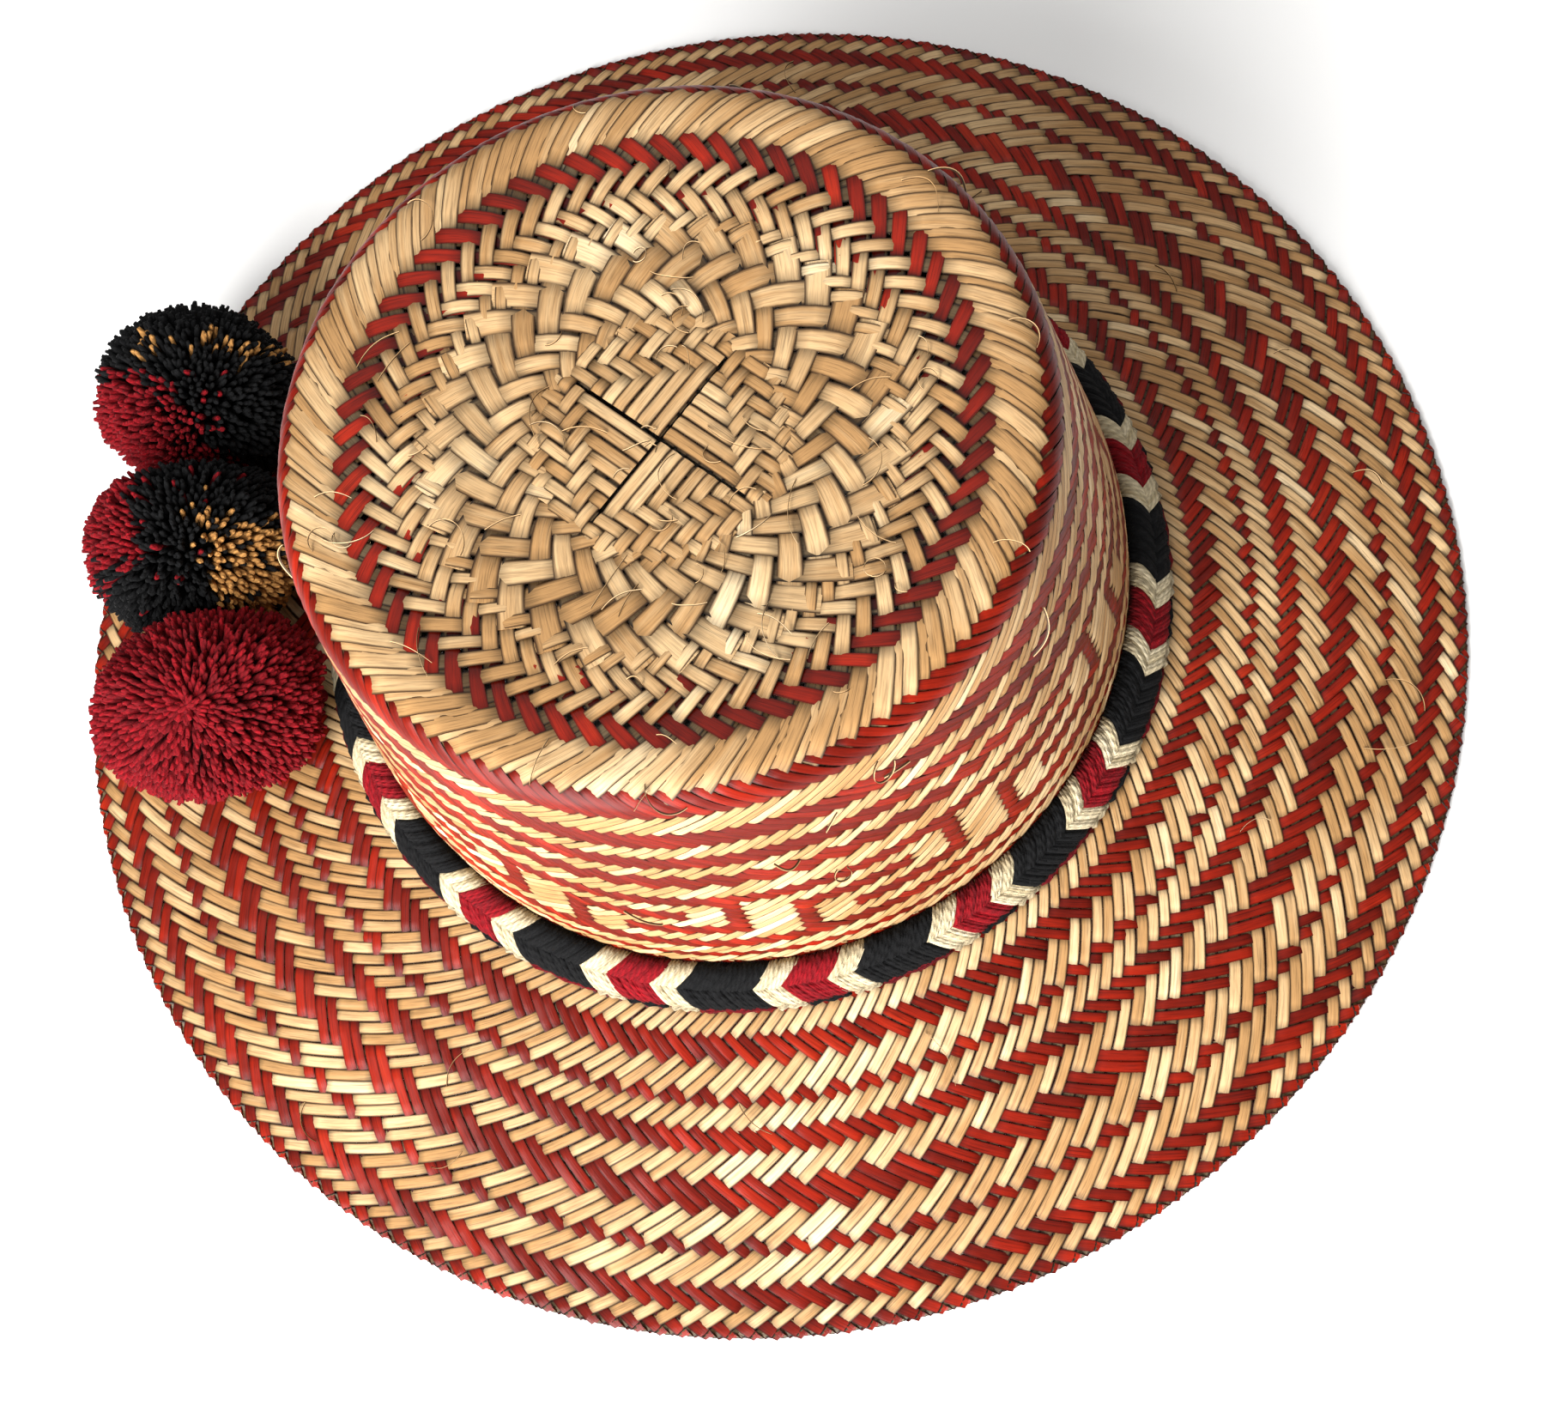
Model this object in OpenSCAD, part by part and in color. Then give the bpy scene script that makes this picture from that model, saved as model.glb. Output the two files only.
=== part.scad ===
// Hand-plaited palm hat: flat round crown, broad drooping brim, and a braided
// wool band with three pompoms lying round the foot of the crown.
//
// The plait has two layers. The splints that pass behind make the inner ply
// (the "ground" nodes), and the floats that show outside make the outer
// ply, one node for each stretch of courses. +Z is up, the origin is on the
// crown's axis, on the surface that the brim's edge rests on.

/* [Hat] */
// Inside radius of the head opening
head_r = 91.5; // [84:0.5:100]
// Height of the straight stretch of wall round the head
head_band_h = 22; // [12:1:30]
// Outer radius of the brim
brim_r = 175; // [150:1:200]
// How far the brim's top falls from the crown to the edge
brim_drop = 28; // [10:1:40]
// Overall height, from the brim's rest plane to the crown top
hat_h = 132; // [122:1:160]
// How much narrower the wall is at the shoulder than at its foot, as a radius
crown_taper = 9.5; // [4:0.5:14]
// Radius of the rounded shoulder
shoulder_r = 8; // [5:0.5:12]
// Thickness of one ply of splints
ply_t = 1; // [0.6:0.1:1.4]

/* [Crown top] */
// Radius of the starting square's four pads
start_r = 26; // [18:1:32]
// Width of the two slits that cross between the pads
slit_w = 0.8; // [0.4:0.1:1.5]
// Direction of the first slit, counted from +X
slit_dir = 52; // [0:1:89]
// Width of the outermost course of the crown top, its long floats
tip_long_w = 7; // [4:0.5:9]
// Width of the dyed course inside it
tip_red_w = 7; // [4:0.5:9]

/* [Wall] */
// Height of each fret row
fret_row_h = 4.3; // [3:0.1:4.5]
// How many times the fret repeats round the crown
fret_units = 11; // [8:1:14]
// Direction of the fret's first upright, counted from +X
fret_turn = 21; // [0:1:32]
// Gap between the blocks of floats that make the fret
fret_gap = 0.2; // [0.1:0.05:0.4]
// Height of the foot courses between the fret and the band, top to bottom
foot_rows = [5, 3, 4, 3];
// Heights of the courses between shoulder and fret, as shares to fill the space
upper_shares = [8.5, 7.5, 6, 6, 4, 6, 6.5];

/* [Brim] */
// Width of one natural and one dyed brim course together
brim_pair_w = 10.3; // [8:0.1:12]
// Share of that width that is natural
brim_nat_share = 0.54; // [0.4:0.01:0.65]
// Width of the folded edge
edge_w = 3.5; // [2.5:0.1:6]
// Height of the folded edge
edge_h = 3.4; // [2.6:0.1:5]

/* [Hat band] */
// Width of the flat braid
band_w = 12; // [8:0.5:14]
// Thickness of the braid
band_t = 3.4; // [2.5:0.1:5]
// Lean of the braid from upright, against the crown's foot
band_lean = 42; // [30:1:60]
// Gap between braid and hat, all round
band_gap = 0.5; // [0.3:0.1:1]
// How many times the braid's colours repeat
band_units = 15; // [10:1:18]
// How far each V of the braid points round the hat
band_v = 5; // [2:0.5:7]

/* [Pompoms] */
// Half the length of a ball, outward from the crown
ball_a = 26; // [18.5:0.5:28]
// Half the width of a ball
ball_b = 18.5; // [14:0.5:18.5]
// Gap between a ball and the brim
ball_gap = 0.8; // [0.4:0.1:3]
// Direction of the middle ball from the axis
ball_dir = 173.5; // [0:0.5:360]
// How far round the braid the front ball is tied from the middle one
ball_front_step = 34.5; // [33:0.5:60]
// How far round the braid the back ball is tied from the middle one
ball_back_step = 29.5; // [29.5:0.5:60]
// How far out from the braid their centres lie
ball_outs = [29.5, 32.5, 46.5];
// Diameter of a tie cord
tie_d = 2.4; // [1.5:0.1:3]
// Diameter of the knot where a tie is caught on the braid
knot_d = 4; // [3:0.1:4.5]
// Height of the knot's underside over the brim
knot_lift = 2; // [1:0.1:4]

/* [Hidden] */
$fn = 128;

palm = "#D8BF8E";
palm_dull = "#C8AC79";
palm_dyed = "#A63A2C";
wool_black = "#141418";
wool_ecru = "#D8CBB0";
wool_red = "#B01424";
wool_tan = "#B98A4E";

wall_foot_r = head_r + 2 * ply_t;
slope = brim_drop / (brim_r - wall_foot_r);
brim_ply_h = ply_t * sqrt(1 + slope * slope);
// The brim's plies end inside the folded edge, mid-way up it
edge_in_r = brim_r - edge_w;
edge_top_z = edge_h;
brim_end_z = edge_top_z - 0.6;
function brim_top(r) = brim_end_z + slope * (edge_in_r - r);
root_z = brim_top(wall_foot_r);
wall_low_z = root_z - 2 * brim_ply_h;
taper_z = wall_low_z + head_band_h;
shoulder_z = hat_h - shoulder_r;
crown_top_r = wall_foot_r - crown_taper;
flat_r = crown_top_r - shoulder_r;
tip_red_r = flat_r - tip_long_w - tip_red_w;
// Outside radius of the wall at a height
function wall_r(z) = z <= taper_z ? wall_foot_r
    : wall_foot_r - (wall_foot_r - crown_top_r) * (z - taper_z) / (shoulder_z - taper_z);

foot_visible_h = foot_rows[0] + foot_rows[1] + foot_rows[2] + foot_rows[3];
FRET_ROWS = 7;
fret_h = FRET_ROWS * fret_row_h;
// The band's top edge hides the lowest wall course
foot_cover_z = root_z + 5;
fret_low_z = foot_cover_z + foot_visible_h;
fret_top_z = fret_low_z + fret_h;
upper_h = shoulder_z - fret_top_z;

function sum_to(list, n) = n <= 0 ? 0 : list[n - 1] + sum_to(list, n - 1);
upper_total = sum_to(upper_shares, len(upper_shares));
function upper_z(n) = shoulder_z - upper_h * sum_to(upper_shares, n) / upper_total;
function foot_z(n) = fret_low_z - sum_to(foot_rows, n);

// ---- plies ----

// Section of the wall between two depths, from z_lo to z_hi
function wall_section(z_lo, z_hi, deep, shallow) =
    let (bend = (z_lo < taper_z && taper_z < z_hi) ? [taper_z] : [])
    concat(
        [for (z = concat([z_lo], bend, [z_hi])) [wall_r(z) - shallow, z]],
        [for (z = concat([z_hi], bend, [z_lo])) [wall_r(z) - deep, z]]
    );

module wall_ring(z_lo, z_hi, deep, shallow) {
    rotate_extrude() polygon(wall_section(z_lo, z_hi, deep, shallow));
}

module wall_course(z_lo, z_hi) {
    wall_ring(z_lo, z_hi, ply_t, 0);
}

// Outer-ply ring of the brim
module brim_course(r_in, r_out) {
    rotate_extrude() polygon([
        [r_in, brim_top(r_in) - brim_ply_h],
        [r_out, brim_top(r_out) - brim_ply_h],
        [r_out, brim_top(r_out)],
        [r_in, brim_top(r_in)],
    ]);
}

// Quarter-round ring of the shoulder between two depths
module shoulder_ring(deep, shallow) {
    STEPS = 8;
    arc_out = [for (i = [0:STEPS]) let (a = 90 * i / STEPS)
        [flat_r + (shoulder_r - shallow) * cos(a), shoulder_z + (shoulder_r - shallow) * sin(a)]];
    arc_in = [for (i = [STEPS:-1:0]) let (a = 90 * i / STEPS)
        [flat_r + (shoulder_r - deep) * cos(a), shoulder_z + (shoulder_r - deep) * sin(a)]];
    rotate_extrude() polygon(concat(arc_out, arc_in));
}

module tip_ring(r_in, r_out, deep, shallow) {
    translate([0, 0, hat_h - deep])
        difference() {
            cylinder(r = r_out, h = deep - shallow);
            if (r_in > 0) translate([0, 0, -1]) cylinder(r = r_in, h = deep - shallow + 2);
        }
}

// ---- inner ply ----

module crown_tip_ground() {
    color(palm_dull) tip_ring(0, flat_r, 2 * ply_t, ply_t);
}

module shoulder_ground() {
    color(palm_dull) shoulder_ring(2 * ply_t, ply_t);
}

module crown_wall_ground() {
    color(palm_dull) wall_ring(taper_z, shoulder_z, 2 * ply_t, ply_t);
}

// The straight stretch that grips the head
module crown_foot_ground() {
    color(palm_dull) wall_ring(wall_low_z, taper_z, 2 * ply_t, ply_t);
}

module brim_ground() {
    color(palm_dull)
        rotate_extrude() polygon([
            [wall_foot_r, brim_top(wall_foot_r) - 2 * brim_ply_h],
            [edge_in_r, brim_top(edge_in_r) - 2 * brim_ply_h],
            [edge_in_r, brim_top(edge_in_r) - brim_ply_h],
            [wall_foot_r, brim_top(wall_foot_r) - brim_ply_h],
        ]);
}

// ---- crown top ----

// Four pads of parallel splints, parted by two crossing slits
module start_cross() {
    color(palm)
        difference() {
            tip_ring(0, start_r, ply_t, 0);
            for (turn = [0, 90])
                rotate(slit_dir + turn)
                    translate([-start_r - 1, -slit_w / 2, hat_h - ply_t - 1])
                        cube([2 * start_r + 2, slit_w, ply_t + 2]);
        }
}

module tip_field() {
    color(palm) tip_ring(start_r, tip_red_r, ply_t, 0);
}

module tip_red_course() {
    color(palm_dyed) tip_ring(tip_red_r, tip_red_r + tip_red_w, ply_t, 0);
}

module tip_long_course() {
    color(palm) tip_ring(tip_red_r + tip_red_w, flat_r, ply_t, 0);
}

module shoulder_course() {
    color(palm_dyed) shoulder_ring(ply_t, 0);
}

// ---- wall ----

// Every second course from the given one
module upper_courses(first) {
    for (n = [first:2:len(upper_shares) - 1])
        wall_course(upper_z(n + 1), upper_z(n));
}

module wall_natural_courses() {
    color(palm) upper_courses(0);
}

module wall_red_courses() {
    color(palm_dyed) upper_courses(1);
}

// Block of the fret: rows counted from the top, angles in twelfths of a unit
FRET_PARTS = 12;
module fret_block(row_a, row_b, part_a, part_b) {
    turn = 360 / fret_units / FRET_PARTS;
    z_hi = fret_top_z - row_a * fret_row_h - fret_gap / 2;
    z_lo = fret_top_z - row_b * fret_row_h + fret_gap / 2;
    gap_turn = fret_gap / wall_foot_r * 180 / PI;
    rotate(part_a * turn + gap_turn / 2)
        rotate_extrude(angle = (part_b - part_a) * turn - gap_turn)
            polygon(wall_section(z_lo, z_hi, ply_t, 0));
}

module fret_repeat() {
    for (k = [0:fret_units - 1])
        rotate(fret_turn + k * 360 / fret_units) children();
}

// Dyed key: a rail above and a rail below, each with hooks into the other
module fret_red() {
    color(palm_dyed) {
        wall_course(fret_top_z - fret_row_h + fret_gap / 2, fret_top_z);
        wall_course(fret_low_z, fret_low_z + fret_row_h - fret_gap / 2);
        fret_repeat() {
            fret_block(1, 5, 8, 9.3);
            fret_block(4, 5, 2.7, 8);
            fret_block(2, 6, -0.7, 0.7);
            fret_block(2, 3, 0.7, 6.1);
        }
    }
}

// The natural meander that runs between the hooks
module fret_natural() {
    color(palm)
        fret_repeat() {
            fret_block(1, 6, 9.3, 11.3);
            fret_block(1, 2, 11.3, 20);
            fret_block(2, 4, 18.1, 20);
            fret_block(3, 4, 12.7, 18.1);
            fret_block(4, 6, 12.7, 14.7);
            fret_block(5, 6, 14.7, 21.3);
        }
}

module foot_natural_courses() {
    color(palm) {
        wall_course(foot_z(1), foot_z(0));
        wall_course(foot_z(3), foot_z(2));
        wall_course(wall_low_z, foot_z(4));
    }
}

module foot_red_courses() {
    color(palm_dyed) {
        wall_course(foot_z(2), foot_z(1));
        wall_course(foot_z(4), foot_z(3));
    }
}

// ---- brim ----

// The courses are counted inwards from the folded edge
function pair_r(n) = max(edge_in_r - n * brim_pair_w, wall_foot_r);
function split_r(n) = max(pair_r(n) - brim_nat_share * brim_pair_w, wall_foot_r);
pairs = ceil((edge_in_r - wall_foot_r) / brim_pair_w);
// The pair laid with two splints side by side
WIDE = 2;

module brim_natural_courses() {
    color(palm)
        for (n = [0:pairs - 1])
            if (n != WIDE && pair_r(n) - split_r(n) > 0.01)
                brim_course(split_r(n), pair_r(n));
}

module brim_red_courses() {
    color(palm_dyed)
        for (n = [0:pairs - 1])
            if (n != WIDE && split_r(n) - pair_r(n + 1) > 0.01)
                brim_course(pair_r(n + 1), split_r(n));
}

module brim_wide_natural() {
    color(palm) brim_course(split_r(WIDE), pair_r(WIDE));
}

module brim_wide_red() {
    color(palm_dyed) brim_course(pair_r(WIDE + 1), split_r(WIDE));
}

// Splints folded back on themselves, flat where the hat rests
module brim_edge() {
    round_w = edge_h / 3;
    color(palm_dyed)
        rotate_extrude() polygon([
            [edge_in_r, 0], [brim_r - round_w, 0], [brim_r - 0.3 * round_w, 0.3 * round_w],
            [brim_r, round_w], [brim_r, edge_top_z - round_w],
            [brim_r - 0.3 * round_w, edge_top_z - 0.3 * round_w],
            [brim_r - round_w, edge_top_z], [edge_in_r, edge_top_z],
        ]);
}

// ---- hat band ----

lean_c = cos(band_lean);
lean_s = sin(band_lean);
// Point of the braid's section: along its width from the outer low edge, then
// through its thickness from the side that faces the hat
band_low_r = wall_foot_r + band_gap + band_w * lean_s;
band_low_z = brim_top(band_low_r) + band_gap;
function band_point(along, through) = [
    band_low_r - along * band_w * lean_s + through * band_t * lean_c,
    band_low_z + along * band_w * lean_c + through * band_t * lean_s,
];
band_profile = [
    band_point(0.06, 0), band_point(0, 0.3), band_point(0, 0.7), band_point(0.1, 1),
    band_point(0.9, 1), band_point(1, 0.7), band_point(1, 0.3), band_point(0.94, 0),
];
band_out_r = band_low_r + band_t * lean_c;

module band_ring() {
    rotate_extrude() polygon(band_profile);
}

// V-shaped block of the braid, in shares of one repeat, pointing clockwise
module band_block(from, to) {
    unit = 360 / band_units;
    mid_r = (wall_foot_r + band_out_r) / 2;
    v_turn = band_v / mid_r * 180 / PI;
    in_r = wall_foot_r - 4;
    out_r = band_out_r + 6;
    a = from * unit;
    b = to * unit;
    outline = [
        [in_r, a], [mid_r, a - v_turn], [out_r, a],
        [out_r, b], [mid_r, b - v_turn], [in_r, b],
    ];
    intersection() {
        band_ring();
        linear_extrude(height = root_z + band_w + band_t)
            polygon([for (p = outline) [p[0] * cos(p[1]), p[0] * sin(p[1])]]);
    }
}

module band_repeat() {
    for (k = [0:band_units - 1])
        rotate(k * 360 / band_units) children();
}

module band_black() {
    color(wool_black) band_repeat() band_block(0, 0.44);
}

module band_ecru() {
    color(wool_ecru)
        band_repeat() {
            band_block(0.44, 0.6);
            band_block(0.84, 1);
        }
}

module band_red() {
    color(wool_red) band_repeat() band_block(0.6, 0.84);
}

// ---- pompoms ----

// Distances of the balls' centres from the axis
ball_dists = [for (out = ball_outs) band_out_r + out];
// Directions of the front, middle and back ball from the axis
ball_dirs = [for (step = [ball_front_step, 0, -ball_back_step])
    ball_dir + step / band_out_r * 180 / PI];

FRONT = 0;
MIDDLE = 1;
BACK = 2;
knot_r = band_out_r + band_gap + knot_d / 2;
knot_z = brim_top(knot_r) + knot_d / 2 + knot_lift;
// Height of a ball's centre, so that its underside clears the sloping brim
function ball_z(i) = brim_top(ball_dists[i])
    + sqrt(pow(ball_b, 2) + pow(slope * ball_a, 2)) + ball_gap;

// Puts its children in a ball's own place: X outwards, origin at the centre
module at_ball(i) {
    rotate(ball_dirs[i]) translate([ball_dists[i], 0, ball_z(i)]) children();
}

module ball() {
    STEPS = 20;
    rotate([0, 90, 0])
        rotate_extrude()
            polygon([for (i = [0:STEPS]) let (a = 180 * i / STEPS - 90)
                [i == 0 || i == STEPS ? 0 : ball_b * cos(a), ball_a * sin(a)]]);
}

// Part of a ball between two planes across X, and two across Y
module ball_part(x_from, x_to, y_from, y_to) {
    intersection() {
        ball();
        translate([x_from, y_from, -ball_b - 1])
            cube([x_to - x_from, y_to - y_from, 2 * ball_b + 2]);
    }
}

// Cord from the knot on the braid to the near end of the ball
module tie(i) {
    reach = ball_dists[i] - ball_a - knot_r;
    rise = ball_z(i) - knot_z;
    tilt = atan2(rise, reach + 2);
    color(wool_black)
        rotate(ball_dirs[i]) {
            difference() {
                translate([knot_r, 0, knot_z])
                    rotate([0, 90 - tilt, 0])
                        cylinder(d = tie_d, h = norm([reach + 2, rise]));
                translate([ball_dists[i], 0, ball_z(i)]) ball();
            }
            translate([knot_r, 0, knot_z]) sphere(d = knot_d);
        }
}

module pompom_front_tuft() {
    color(wool_red) at_ball(FRONT) ball();
}

module pompom_front_tie() {
    tie(FRONT);
}

// Outer, middle and inner third in three colours
big = 100;
module pompom_middle_red() {
    color(wool_red) at_ball(MIDDLE) ball_part(0.35 * ball_a, big, -big, big);
}

module pompom_middle_black() {
    color(wool_black) at_ball(MIDDLE) ball_part(-0.45 * ball_a, 0.35 * ball_a, -big, big);
}

module pompom_middle_tan() {
    color(wool_tan) at_ball(MIDDLE) ball_part(-big, -0.45 * ball_a, -big, big);
}

module pompom_middle_tie() {
    tie(MIDDLE);
}

// Red towards the front, black towards the back with a thin tan streak in it
module pompom_back_red() {
    color(wool_red) at_ball(BACK) ball_part(-big, big, 0.3 * ball_b, big);
}

module pompom_back_black() {
    color(wool_black)
        at_ball(BACK) {
            ball_part(-big, big, -0.3 * ball_b, 0.3 * ball_b);
            ball_part(-big, big, -big, -0.55 * ball_b);
        }
}

module pompom_back_tan() {
    color(wool_tan) at_ball(BACK) ball_part(-big, big, -0.55 * ball_b, -0.3 * ball_b);
}

module pompom_back_tie() {
    tie(BACK);
}

crown_tip_ground();
shoulder_ground();
crown_wall_ground();
crown_foot_ground();
brim_ground();
start_cross();
tip_field();
tip_red_course();
tip_long_course();
shoulder_course();
wall_natural_courses();
wall_red_courses();
fret_natural();
fret_red();
foot_natural_courses();
foot_red_courses();
brim_natural_courses();
brim_red_courses();
brim_wide_natural();
brim_wide_red();
brim_edge();
band_black();
band_ecru();
band_red();
pompom_front_tuft();
pompom_front_tie();
pompom_middle_red();
pompom_middle_black();
pompom_middle_tan();
pompom_middle_tie();
pompom_back_red();
pompom_back_black();
pompom_back_tan();
pompom_back_tie();
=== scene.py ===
"""Hand-plaited palm hat with a braided wool band and three wool pompoms.

The hat is a plait of several hundred palm splints. Two sets of splints slant
opposite ways round the crown and brim, and each splint is modelled whole, over
and under the others, so the inside and the underside show the backs of the
same splints. The band is a flat braid of wool plies, and each pompom is a ball
of cut yarn ends round a tied core.
"""
import logging
import math
from dataclasses import dataclass
from enum import Enum
from typing import Callable, Sequence

import bpy
import numpy as np
from mathutils import Euler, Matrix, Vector


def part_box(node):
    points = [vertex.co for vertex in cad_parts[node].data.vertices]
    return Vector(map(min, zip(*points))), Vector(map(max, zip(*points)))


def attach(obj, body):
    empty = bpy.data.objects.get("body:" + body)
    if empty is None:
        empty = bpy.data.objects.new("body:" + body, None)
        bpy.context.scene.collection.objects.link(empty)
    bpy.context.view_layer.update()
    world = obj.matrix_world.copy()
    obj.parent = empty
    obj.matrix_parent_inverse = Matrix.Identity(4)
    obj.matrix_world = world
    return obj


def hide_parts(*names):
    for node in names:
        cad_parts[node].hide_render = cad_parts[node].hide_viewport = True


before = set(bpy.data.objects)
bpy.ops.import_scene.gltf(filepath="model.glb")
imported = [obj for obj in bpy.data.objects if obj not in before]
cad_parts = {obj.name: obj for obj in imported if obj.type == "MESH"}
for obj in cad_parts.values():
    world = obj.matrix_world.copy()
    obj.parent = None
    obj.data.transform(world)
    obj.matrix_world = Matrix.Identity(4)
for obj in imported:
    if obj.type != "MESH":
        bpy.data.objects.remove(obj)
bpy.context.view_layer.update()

log = logging.getLogger("palm_hat")

MM = 0.001
SEED = 7
# Length of leaf, in millimetres, in which the grain of a splint may start
GRAIN_RUN = 400.0
# Sockets of a Mix node when it mixes colours
MIX_SHARE, MIX_FIRST, MIX_SECOND, MIX_RESULT = 0, 6, 7, 2


class Colour(Enum):
    """The two kinds of palm splint in the plait."""

    NATURAL = "natural"
    DYED = "dyed"


# ---------------------------------------------------------------- helpers


def linear(hex_colour: str) -> tuple[float, float, float, float]:
    """Turns an sRGB hex colour to linear RGBA.

    Args:
        hex_colour: colour as "#RRGGBB".

    Returns:
        Linear red, green, blue and an alpha of 1.
    """
    parts = [int(hex_colour[i:i + 2], 16) / 255 for i in (1, 3, 5)]
    return (*[c / 12.92 if c <= 0.04045 else ((c + 0.055) / 1.055) ** 2.4 for c in parts], 1.0)


def add_node(tree: bpy.types.NodeTree, kind: str, inputs: dict | None = None,
             **settings: object) -> bpy.types.Node:
    """Adds a shader node with its settings and links.

    Args:
        tree: node tree to add to.
        kind: Blender's name of the node type.
        inputs: socket name or index to a value, or to the output socket it links from.
        **settings: the node's own attributes.

    Returns:
        The new node.
    """
    made = tree.nodes.new(kind)
    for name, value in settings.items():
        setattr(made, name, value)
    for socket, value in (inputs or {}).items():
        if isinstance(value, bpy.types.NodeSocket):
            tree.links.new(value, made.inputs[socket])
        else:
            made.inputs[socket].default_value = value
    return made


def new_material(name: str) -> bpy.types.Material:
    """Adds a material with an empty node tree."""
    material = bpy.data.materials.new(name)
    material.use_nodes = True
    material.node_tree.nodes.clear()
    return material


def deselect_all() -> None:
    """Enters object mode with nothing selected."""
    if bpy.context.mode != "OBJECT":
        bpy.ops.object.mode_set(mode="OBJECT")
    bpy.ops.object.select_all(action="DESELECT")


def edit_all() -> None:
    """Enters edit mode with everything selected."""
    bpy.ops.object.mode_set(mode="EDIT")
    bpy.ops.mesh.select_all(action="SELECT")


def read_all(items: bpy.types.bpy_prop_collection, key: str, width: int = 1,
             kind: type = float) -> np.ndarray:
    """Reads one property of every vertex, face or face corner of a mesh.

    Args:
        items: the mesh's vertices, faces or corners.
        key: name of the property.
        width: numbers that each one holds.
        kind: number type.

    Returns:
        One row for each item, or one number where the width is 1.
    """
    values = np.empty(len(items) * width, dtype=kind)
    items.foreach_get(key, values)
    return values if width == 1 else values.reshape(-1, width)


def remove(obj: bpy.types.Object) -> None:
    """Deletes a scratch object and its mesh."""
    mesh = obj.data
    bpy.data.objects.remove(obj)
    bpy.data.meshes.remove(mesh)


def smooth_noise(rng: np.random.Generator, rows: int, columns: int, step: float) -> np.ndarray:
    """Slowly wandering random values along each row.

    Args:
        rng: seeded random source.
        rows: number of independent curves.
        columns: number of samples on each.
        step: samples from one turning point to the next.

    Returns:
        Array of rows by columns, each value about -1 to 1.
    """
    knots = max(int(columns / step) + 2, 3)
    values = rng.uniform(-1, 1, (rows, knots))
    at = np.linspace(0, knots - 1.001, columns)
    low = at.astype(int)
    part = at - low
    part = part * part * (3 - 2 * part)
    return values[:, low] * (1 - part) + values[:, low + 1] * part


def shades(rng: np.random.Generator, count: int, spread: float = 0.3, limit: float = 0.6) -> np.ndarray:
    """Draws a shade for each splint or yarn, most of them near the middle one.

    Args:
        rng: seeded random source.
        count: number of shades.
        spread: their standard deviation.
        limit: the most that one may differ.

    Returns:
        The shades, with 0 as the middle one.
    """
    return np.clip(spread * rng.standard_normal(count), -limit, limit)


def unit(vectors: np.ndarray) -> np.ndarray:
    """Brings vectors, which lie along the last axis, to a length of 1."""
    return vectors / np.linalg.norm(vectors, axis=-1, keepdims=True)


def path_frames(centre: np.ndarray, normal: np.ndarray) -> tuple[np.ndarray, np.ndarray, np.ndarray]:
    """Directions square to many paths, and the distance gone along them.

    Args:
        centre: path points, paths by steps by 3.
        normal: a direction off the path at those points.

    Returns:
        Unit vectors to the side and up, and the distance from each path's start.
    """
    ahead = unit(np.gradient(centre, axis=1))
    side = unit(np.cross(ahead, normal))
    stride = np.linalg.norm(np.diff(centre, axis=1, prepend=centre[:, :1]), axis=2)
    return side, np.cross(side, ahead), np.cumsum(stride, axis=1)


def mesh_object(name: str, points: np.ndarray, corners: np.ndarray, sizes: np.ndarray,
                corner_uv: np.ndarray, values: dict[str, np.ndarray]) -> bpy.types.Object:
    """Makes a mesh object with a UV map and float attributes on its points.

    Args:
        name: object name.
        points: vertex positions in metres, n by 3.
        corners: vertex index at each face corner, all faces in a row.
        sizes: number of corners of each face.
        corner_uv: UV pair at each face corner.
        values: attribute name to one float for each vertex.

    Returns:
        The object, linked to the scene.
    """
    mesh = bpy.data.meshes.new(name)
    mesh.vertices.add(len(points))
    mesh.vertices.foreach_set("co", points.astype(np.float32).ravel())
    mesh.loops.add(len(corners))
    mesh.loops.foreach_set("vertex_index", corners.astype(np.int32))
    mesh.polygons.add(len(sizes))
    starts = np.concatenate([[0], np.cumsum(sizes)[:-1]])
    mesh.polygons.foreach_set("loop_start", starts.astype(np.int32))
    mesh.update(calc_edges=True)
    layer = mesh.uv_layers.new(name="Strand")
    layer.data.foreach_set("uv", corner_uv.astype(np.float32).ravel())
    for key, value in values.items():
        mesh.attributes.new(key, "FLOAT", "POINT").data.foreach_set("value", value.astype(np.float32))
    mesh.validate()
    obj = bpy.data.objects.new(name, mesh)
    bpy.context.scene.collection.objects.link(obj)
    return obj


def finish_piece(obj: bpy.types.Object, body: str, material: bpy.types.Material,
                 replaced: Sequence[str] = (), smooth_angle: float | None = None) -> None:
    """Gives a piece its shading, material, slot and body, and reports it.

    Args:
        obj: the finished mesh object.
        body: CAD body that it rides on.
        material: its material.
        replaced: CAD nodes that it stands for.
        smooth_angle: edges sharper than this many degrees stay sharp, or None for no sharp edge.
    """
    deselect_all()
    obj.select_set(True)
    bpy.context.view_layer.objects.active = obj
    if smooth_angle is None:
        obj.data.polygons.foreach_set("use_smooth", np.ones(len(obj.data.polygons), dtype=bool))
    else:
        bpy.ops.object.shade_smooth_by_angle(angle=math.radians(smooth_angle))
    obj.select_set(False)
    obj.data.materials.clear()
    obj.data.materials.append(material)
    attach(obj, body)
    if replaced:
        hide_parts(*replaced)
    log.info("%s: %d faces on %s", obj.name, len(obj.data.polygons), body)


# ---------------------------------------------------------------- finishes


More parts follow.
